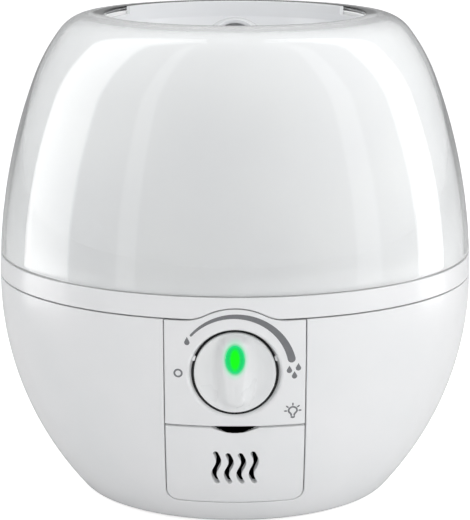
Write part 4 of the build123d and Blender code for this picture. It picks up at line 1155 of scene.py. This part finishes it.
@dataclass
class Knob:
    """Round knob with a raised grip ridge between two scooped sides, and its lit window."""
    centre: Point
    back_y: float
    rim_thick: float = 2.2
    ridge_height: float = 5.1
    radius: float = 19.1
    roll: float = 0.7
    half: float = 7.1
    ridge_low: float = -10.2
    flank: float = 4.8
    crown_drop: float = 0.10
    crease_depth: float = 0.18
    scoop_depth: float = 1.05
    dome_height: float = 0.9
    window_up: float = 7.5
    window: tuple[float, float] = WINDOW_HALF
    rings: int = 46
    columns: int = 180

    def height(self, u: float, w: float) -> float:
        """How far the face stands in front of the rim, at a place from the knob's centre."""
        rho = math.hypot(u, w)
        below = max(0.0, self.ridge_low - w)
        half = self.half * (0.93 - 0.12 * ease((4 - w) / 16))
        beside = math.hypot(u, below) - half
        side = ease(0.5 - beside / self.flank)
        away = self.radius - rho
        crown = 1 - self.crown_drop * min(1.0, (u / half)**2)
        crease = self.crease_depth * math.exp(-(u / 0.8)**2) * ease((-2 - w) / 5)
        fade = ease(away / 4.5) * 0.75 + ease(away / 9.0) * 0.25
        scoop = self.scoop_depth * ease(beside / 4.5) * ease(away / 6.0)
        dome = self.dome_height * (1 - (rho / self.radius)**2)
        top = self.ridge_height - 0.1
        return (1 - side) * (dome - scoop) + side * ((top * crown - crease) * fade)

    def finish(self) -> LitKnob:
        """White plastic with the lamp's glow round the window."""
        return LitKnob("lit_knob_white", "#F1F2F2", "#EDEEEF", roughness=0.3, glaze=0.3,
                       centre=(self.centre[0], 0, self.centre[1] + self.window_up),
                       half=self.window)

    def face(self, grow: float = 0.0) -> BMesh:
        """The knob's front as a turned sheet shaped by its height."""
        reach = self.radius - self.roll
        bm = bmesh.new()
        row = [bm.verts.new((reach * i / self.rings, 0, 0)) for i in range(self.rings + 1)]
        edges = [bm.edges.new(pair) for pair in zip(row, row[1:])]
        bmesh.ops.spin(bm, geom=row + edges, cent=(0, 0, 0), axis=(0, 1, 0), angle=2 * math.pi,
                       steps=self.columns, use_merge=True)
        bmesh.ops.remove_doubles(bm, verts=bm.verts[:], dist=1e-3)
        front = self.back_y - self.rim_thick
        for v in bm.verts:
            v.co.y = front + grow - self.height(v.co.x, v.co.z)
        shift_mesh(bm, self.centre[0], 0, self.centre[1])
        bm.normal_update()
        if sum(f.normal.y for f in bm.faces) > 0:
            bmesh.ops.reverse_faces(bm, faces=bm.faces[:])
        return bm

    def window_edge(self, grow: float) -> list[Point]:
        """The window's outline, made larger by the amount."""
        wide, high = self.window[0] + grow, self.window[1] + grow
        return circle_points((self.centre[0], self.centre[1] + self.window_up), wide, 56,
                             high / wide)

    def build(self) -> None:
        """Make the knob and its window."""
        self.grip()
        self.lens()

    def grip(self) -> None:
        """The knob's body, open where the window sits."""
        bm = self.face()
        cut(bm, self.window_edge(0.25), side=0)
        self.close_back(bm, self.roll, 0.25, 0.12)
        even_shading(make_piece(bm, "knob_grip", Body.KNOB, self.finish(),
                                ["control_knob"]))

    def close_back(self, bm: BMesh, roll: float, inner_roll: float, gap: float) -> None:
        """Roll the open edges and carry them straight to a flat back, filled between them."""
        bm.normal_update()
        rim = [e for e in bm.edges if e.is_boundary]
        frames = border_frames(rim)
        centre = Vector((self.centre[0], 0, self.centre[1]))
        amount = {v: roll if math.hypot(v.co.x - centre.x,
                                        v.co.z - centre.z) > self.radius - 2 * self.roll
                  else inner_roll - gap for v in frames}
        border = Border(bm, rim)

        def flat(v: BMVert) -> Vector:
            """Way out of the face at a corner, along the knob's plane."""
            way = frames[v][2]
            return Vector((way.x, 0, way.z)).normalized()

        for turn in ROLL_TURNS:
            s, d = math.sin(math.radians(turn)), 1 - math.cos(math.radians(turn))
            border.grow(lambda v, s=s, d=d: frames[v][0] + flat(v) * amount[v] * s
                        + Vector((0, amount[v] * d, 0)))
        border.grow(lambda v: (frames[v][0] + flat(v) * amount[v]) * Vector((1, 0, 1))
                    + Vector((0, self.back_y, 0)))
        bmesh.ops.triangle_fill(bm, use_beauty=True, edges=border.edges)
        bmesh.ops.recalc_face_normals(bm, faces=bm.faces[:])

    def lens(self) -> None:
        """The window: the same face, kept within the window and crowned a little."""
        bm = self.face(grow=0.12)
        cut(bm, self.window_edge(-0.25), within=False, side=0)
        self.close_back(bm, 0.2, 0.25, 0.05)
        finish = LitWindow("lit_green_window", centre=(self.centre[0], 0,
                                                       self.centre[1] + self.window_up),
                           half=self.window)
        even_shading(make_piece(bm, "knob_lens", Body.KNOB, finish, ["knob_window"]))


@dataclass
class Drawer:
    """Scent-pad drawer's front: finger notch over a soft dish, and four S-shaped vents."""
    panel: Panel
    wall: float = 3.0
    notch_half: float = 12.4
    notch_depth: float = 2.9
    dish_depth: float = 1.5
    dish_half: float = 9.5
    dish_rise: float = 4.5
    dish_fade: float = 4.0
    notch_lean: float = 1.3
    vent_pitch: float = 5.93
    vent_low: float = 26.4
    vent_high: tuple[float, float] = (45.3, 44.4)
    vent_width: float = 2.4
    vent_sway: float = 1.1
    roll: float = 0.4

    def front_outline(self, inset: float) -> list[Point]:
        """Outline of the front, drawn in, with the notch in its top edge."""
        base = self.panel.base
        top = base.drawer_top - inset
        notch_r = (self.notch_half**2 + self.notch_depth**2) / (2 * self.notch_depth)
        centre = (0.0, base.drawer_top - self.notch_depth + notch_r)
        grown = notch_r + base.roll
        half = math.degrees(math.acos((centre[1] - top) / grown))
        low_part = base.drawer(-inset, top)[2:]
        notch = arc_points(centre, grown, -90 + half, -90 - half, 22)
        side = base.half_width - inset
        return [(side, top), *notch, (-side, top), *low_part]

    def vent(self, x: float, high: float) -> list[Point]:
        """One S-shaped slot with round ends."""
        middle, half = (self.vent_low + high) / 2, (high - self.vent_low - self.vent_width) / 2
        steps = 24
        line = [(x + self.vent_sway * math.sin(2 * math.pi * (1.1 * i / steps - 0.05)),
                 middle + half * (1 - 2 * i / steps)) for i in range(steps + 1)]
        return ribbon(line, lambda t: self.vent_width + 2 * self.roll, 6)

    def build(self) -> None:
        """Cut the front from the body's outline."""
        base = self.panel.base
        inset = base.gap + base.roll
        bm = self.panel.sheet(base.drawer_bottom - 2, base.drawer_top + 2, 26.0, 1.4)
        cut(bm, self.front_outline(inset), within=False)
        for place in (-1.5, -0.5, 0.5, 1.5):
            cut(bm, self.vent(place * self.vent_pitch, self.vent_high[1 if abs(place) < 1 else 0]))
        bmesh.ops.remove_doubles(bm, verts=bm.verts[:], dist=0.02)
        snap_to(bm, base.outline)
        bm.normal_update()
        for v in bm.verts:
            below = base.drawer_top - self.notch_depth - v.co.z
            across = math.exp(-(v.co.x / self.dish_half)**2)
            rise = ease((below + self.dish_rise) / self.dish_rise)
            v.co.y += self.dish_depth * (across * rise * math.exp(-max(0.0, below) / self.dish_fade))
        give_wall(bm, self.wall, self.roll)
        self.lean_notch(bm)
        even_shading(make_piece(bm, "drawer_face", Body.DRAWER, WHITE,
                                ["drawer_front"]))

    def lean_notch(self, bm: BMesh) -> None:
        """Slope the wall's edge under the notch down towards the inside, out of sight."""
        base = self.panel.base
        for v in bm.verts:
            depth = base.outline.radius_at(v.co.z) - math.hypot(v.co.x, v.co.y)
            near = math.exp(-(v.co.x / 10)**4) * ease((v.co.z - base.drawer_top + 6) / 3)
            v.co.z -= self.notch_lean * near * ease((depth - 0.6) / 2.4)


# --- tank -----------------------------------------------------------------------------------------
@dataclass
class Tank:
    """Clear dome over a frosted liner, with the bowl the mist comes out of and its nozzle."""
    outline: Outline
    dome_wall: float = 2.4
    liner_gap: float = 0.4
    liner_wall: float = 1.6
    crest_width: float = 6.2
    lip_depth: float = 6.0
    bowl_wall: float = 2.0
    bowl_gap: float = 0.2
    bowl_flare: float = 17.6
    bowl_drop: float = 4.0
    rear_half_angle: float = 58.8
    chimney_r: float = 16.0
    neck_wall: float = 2.5
    hole_roll: float = 0.3
    collar_wall: float = 2.5
    skirt_gap: float = 4.1
    skirt_wall: float = 2.5
    skirt_drop: float = 7.0
    nozzle_wall: float = 1.8
    mouth_r: float = 11.0
    mouth_up: float = 38.0
    mouth_roll: float = 0.45

    @property
    def lip_r(self) -> float:
        """Inner radius of the crest's turned-down lip."""
        return self.outline.crest_r - self.crest_width

    def build(self) -> None:
        """Make every piece of the tank that shows."""
        self.dome()
        self.liner()
        self.floor()
        self.bowl()
        self.nozzle()

    def dome(self) -> None:
        """Clear outer shell, turned in over the crest to the bowl."""
        low, high = mm_box("tank_dome")
        top, wall, lip = high.z, self.dome_wall, self.lip_r
        soft = 0.8
        outer = self.outline.path(low.z, top, 2.4)
        inner = self.outline.path(low.z, top - wall, 2.4, wall)[::-1]
        start = [(self.outline.radius_at(low.z) - 0.5, low.z),
                 (self.outline.radius_at(low.z + 0.5), low.z + 0.5)]
        crest = [*arc_points((lip + soft, top - soft), soft, 90, 180, 4),
                 *arc_points((lip + soft, top - wall + soft), soft, 180, 270, 4)]
        bm = turned([*start, *[p for p in outer if p[1] > low.z + 1.0], *crest, *inner], 224)
        piece = make_piece(bm, "clear_dome", Body.TANK, TANK, ["tank_dome"], sharp=60)
        piece.visible_shadow = False

    def liner(self) -> None:
        """Frosted inner wall, up from the tank's foot, under the crest and down behind the bowl."""
        low, high = mm_box("tank_dome")
        inset = self.dome_wall + self.liner_gap
        under = inset + self.liner_wall
        foot, reach, tuck = low.z + 0.4, self.lip_r + 0.3, high.z - self.lip_depth + 0.1
        outer = self.outline.path(foot, high.z - inset, 2.6, inset)
        inner = self.outline.path(foot, high.z - under, 2.6, under)[::-1]
        back = reach + self.liner_wall
        bm = turned([*outer, (reach, high.z - inset), (reach, tuck), (back, tuck),
                     (back, high.z - under), *inner], 200)
        make_piece(bm, "frosted_liner", Body.TANK, LINER, ["tank_liner"], sharp=60)

    def floor(self) -> None:
        """Tank floor inside the liner, with its centring skirt and the filler neck."""
        low, high = mm_box("tank_floor")
        foot = mm_box("tank_dome")[0].z
        reach = self.outline.radius_at(foot,
                                       self.dome_wall + self.liner_gap + self.liner_wall) - 0.15
        neck_low, neck_high = mm_box("cap_gasket")
        neck_x, neck_r = (neck_low.x + neck_high.x) / 2, (neck_high.x - neck_low.x) / 2
        bm = bmesh.new()
        bmesh.ops.create_circle(bm, segments=128, radius=reach - self.hole_roll, cap_ends=True)
        turn_mesh(bm, 90, "X")
        shift_mesh(bm, y=-1)
        for centre, radius in (((0.0, 0.0), self.chimney_r + self.hole_roll),
                               ((neck_x, 0.0), neck_r - self.neck_wall + self.hole_roll)):
            cut(bm, circle_points(centre, radius, 64))
        bm.normal_update()
        if next(iter(bm.faces)).normal.y > 0:
            bmesh.ops.reverse_faces(bm, faces=bm.faces[:])
        give_wall(bm, high.z - foot, self.hole_roll)
        turn_mesh(bm, -90, "X")
        shift_mesh(bm, z=high.z - 1)
        skirt = mm_box("collar")[1].x - self.collar_wall - self.skirt_gap
        join(bm, tube(skirt, skirt - self.skirt_wall, foot - self.skirt_drop, foot + 0.2, 160, 0.5))
        neck = tube(neck_r, neck_r - self.neck_wall, low.z, foot + 0.2, 72, 0.5)
        shift_mesh(neck, neck_x)
        join(bm, neck)
        even_shading(make_piece(bm, "tank_bottom", Body.TANK, LINER,
                                ["tank_floor"]))

    def bowl(self) -> None:
        """White bowl sunk in the crest, with the taller wall round its rear."""
        top_z, lip = self.outline.height, self.lip_r
        floor = mm_box("mist_nozzle")[0].z - 0.3
        wall, bowl_r, under = self.bowl_wall, lip - self.bowl_gap, top_z - self.lip_depth
        floor_r, top = lip - self.bowl_flare, top_z - self.bowl_drop
        flange = lip + 4.0
        corners = [(self.chimney_r, floor - wall), (floor_r + wall, floor - wall),
                   (bowl_r, under - wall),
                   (flange, under - wall), (flange, under - 0.05), (bowl_r, under - 0.05),
                   (bowl_r, top),
                   (bowl_r - wall, top), (bowl_r - wall, under - wall), (floor_r, floor),
                   (self.chimney_r, floor)]
        bm = turned(rounded(corners, 0.9, 4), 176)
        rear = bmesh.new()
        section = rounded([(bowl_r - wall, top - 1.0), (bowl_r, top - 1.0), (bowl_r, top_z),
                           (bowl_r - wall, top_z)],
                          0.5, 3)
        start = math.radians(90 - self.rear_half_angle)
        verts = [rear.verts.new((r * math.cos(start), r * math.sin(start), z)) for r, z in section]
        face = rear.faces.new(verts)
        bmesh.ops.spin(rear, geom=[face, *face.edges, *verts], cent=(0, 0, 0), axis=(0, 0, 1),
                       angle=math.radians(2 * self.rear_half_angle), steps=60)
        bmesh.ops.recalc_face_normals(rear, faces=rear.faces[:])
        join(bm, rear)
        even_shading(make_piece(bm, "white_bowl", Body.TANK, BOWL, ["mist_bowl"]))

    def nozzle(self) -> None:
        """Domed nozzle over the chimney, its round mouth looking up and forward."""
        low, high = mm_box("mist_nozzle")
        radius = high.x
        centre = high.z - radius
        path = [(radius, low.z + 0.5), (radius, low.z + 4), (radius, low.z + 8),
                *arc_points((0, centre), radius, 0, 90, 26)]
        bm = turned(path, 96, closed=False)
        face_out(bm)
        pivot = (0, 0, centre)
        turn_mesh(bm, self.mouth_up, "X", pivot)
        cut(bm, circle_points((0, centre), self.mouth_r + self.mouth_roll, 56))
        turn_mesh(bm, -self.mouth_up, "X", pivot)
        give_wall(bm, self.nozzle_wall, self.mouth_roll)
        even_shading(make_piece(bm, "mist_spout", Body.NOZZLE, BOWL, ["mist_nozzle"]))


# --- studio ---------------------------------------------------------------------------------------
@dataclass
class Studio:
    """White floor, soft lights and the camera."""
    camera_place: tuple[float, float, float] = (0.0, -1.0769, 0.3441)
    pitch: float = 12.0
    lens: float = 148.63
    floor_reach: float = 6.0
    body_r: float = 0.118

    def build(self) -> None:
        """Set up the whole studio."""
        self.camera()
        self.floor()
        self.lights()
        self.world()
        scene = bpy.context.scene
        scene.view_settings.view_transform = "Standard"
        scene.view_settings.look = "None"

    def camera(self) -> None:
        """Camera in front, a little above, looking down."""
        data = bpy.data.cameras.new("camera")
        data.lens, data.sensor_width, data.sensor_fit = self.lens, 36.0, "AUTO"
        data.clip_start, data.clip_end = 0.01, 50.0
        camera = add_object("camera", data)
        camera.location = self.camera_place
        camera.rotation_euler = (math.radians(90 - self.pitch), 0, 0)
        bpy.context.scene.camera = camera

    def floor(self) -> None:
        """Pale floor, large enough to fill the view."""
        bm = bmesh.new()
        bmesh.ops.create_grid(bm, x_segments=12, y_segments=12, size=self.floor_reach)
        mesh = bpy.data.meshes.new("floor")
        bm.to_mesh(mesh)
        bm.free()
        floor = add_object("floor", mesh)
        mesh.materials.append(Paper("studio_paper_white").build())

    def card(self, name: str, place: Sequence[float], target: Sequence[float], size: Point,
             radiance: float,
             gloss_only: bool) -> None:
        """Soft rectangular light that the camera doesn't see.

        Args:
            name: the light's name.
            place: its centre.
            target: the point it faces.
            size: width and height.
            radiance: brightness of its face.
            gloss_only: whether it shows only in gloss, or else lights only matt surfaces.
        """
        data = bpy.data.lights.new(name, "AREA")
        data.shape, data.size, data.size_y = "RECTANGLE", size[0], size[1]
        data.energy = radiance * math.pi * size[0] * size[1]
        light = add_object(name, data)
        light.location = place
        light.rotation_euler = (Vector(target) - Vector(place)).to_track_quat("-Z", "Y").to_euler()
        light.visible_camera = False
        light.visible_glossy = light.visible_transmission = gloss_only
        light.visible_diffuse = not gloss_only
        data.cycles.use_multiple_importance_sampling = gloss_only

    def strip(self, name: str, side: int, bearings: tuple[float, float], radiance: float,
              top: float = 3.2,
              away: float = 0.45) -> None:
        """Upright strip that only gloss shows, placed by where its highlight lies on the body.

        Args:
            name: the light's name.
            side: -1 for the left, 1 for the right.
            bearings: degrees in from the body's outline, for the highlight's two edges.
            radiance: brightness of its face.
            top: height of its upper end.
            away: distance from the body.
        """
        ends = []
        for bearing in map(math.radians, bearings):
            start = Vector((math.cos(bearing), -math.sin(bearing))) * self.body_r
            ends.append(start + Vector((math.sin(2 * bearing), math.cos(2 * bearing))) * away)
        (x0, y0), (x1, y1) = ends
        middle = Vector((side * (x0 + x1) / 2, (y0 + y1) / 2, top / 2))
        across = Vector((side * (x1 - x0), y1 - y0, 0))
        facing = across.cross(Vector((0, 0, 1))).normalized()
        if facing.dot(middle) > 0:
            facing.negate()
        self.card(name, middle, middle + facing, (across.length, top), radiance, gloss_only=True)

    def lights(self) -> None:
        """Wide soft lights above, in front and beside, and upright strips for the gloss."""
        for name, place, size, radiance in (("top_card", (0.1, 0.0, 1.6), (1.6, 1.6), 0.85),
                                            ("front_fill", (0.9, -1.7, 0.9), (1.8, 1.4), 1.6),
                                            ("left_fill", (-1.2, -0.1, 0.5), (0.8, 1.0), 1.15),
                                            ("right_fill", (1.2, -0.1, 0.5), (0.8, 1.0), 1.3)):
            self.card(name, place, (0, 0, 0.1), size, radiance, gloss_only=False)
        for name, side, bearings, radiance in (("left_strip", -1, (29.0, 46.5), 1.7),
                                               ("right_strip", 1, (30.0, 40.5), 1.8),
                                               ("left_front_strip", -1, (61.0, 66.0), 0.5),
                                               ("right_front_strip", 1, (53.0, 60.0), 0.5)):
            self.strip(name, side, bearings, radiance)

    def world(self) -> None:
        """Even studio white, dimmer in reflections so that edges read grey."""
        world = bpy.data.worlds.new("studio")
        bpy.context.scene.world = world
        world.use_nodes = True
        tree = world.node_tree
        tree.nodes.clear()
        path = add_node(tree, "LightPath")
        seen = add_node(tree, "Background", {"Color": linear("#FFFFFF"), "Strength": 1.0})
        around = add_node(tree, "Mix", {0: path.outputs["Is Transmission Ray"], 2: 0.5,
                                        3: 0.85}).outputs[0]
        dim = add_node(tree, "Background", {"Color": linear("#ECEDEE"), "Strength": around})
        mix = add_node(tree, "MixShader", {0: path.outputs["Is Camera Ray"], 1: dim.outputs[0],
                                           2: seen.outputs[0]})
        out = add_node(tree, "OutputWorld")
        tree.links.new(mix.outputs[0], out.inputs["Surface"])


def dress_nodes(frame: dict) -> None:
    """Give every CAD node that stays the finish of its material slot."""
    for row in frame["record"]["materials"]:
        finish = SLOT_FINISH[row["slot"]].build()
        for name in row.get("nodes", []):
            mesh = frame["nodes"][name].data
            mesh.materials.clear()
            mesh.materials.append(finish)
            LOG.info("%s keeps its CAD mesh, finish %s", name, finish.name)


def main() -> None:
    """Load the frame, model the visible pieces, dress the rest and set up the studio."""
    logging.basicConfig(level=logging.INFO, format="%(name)s: %(message)s")
    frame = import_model()
    dress_nodes(frame)
    outline = Outline(belly_r=mm_box("lower_housing")[1].x, height=mm_box("tank_dome")[1].z)
    knob_low, knob_high = mm_box("control_knob")
    knob_centre = (0.0, (knob_low.z + knob_high.z) / 2)
    base = Base(outline, knob_centre)
    panel = Panel(base)
    for assembly in (base, panel, Knob(knob_centre, knob_high.y), Drawer(panel), Tank(outline),
                     Studio()):
        assembly.build()


if __name__ == "__main__":
    main()
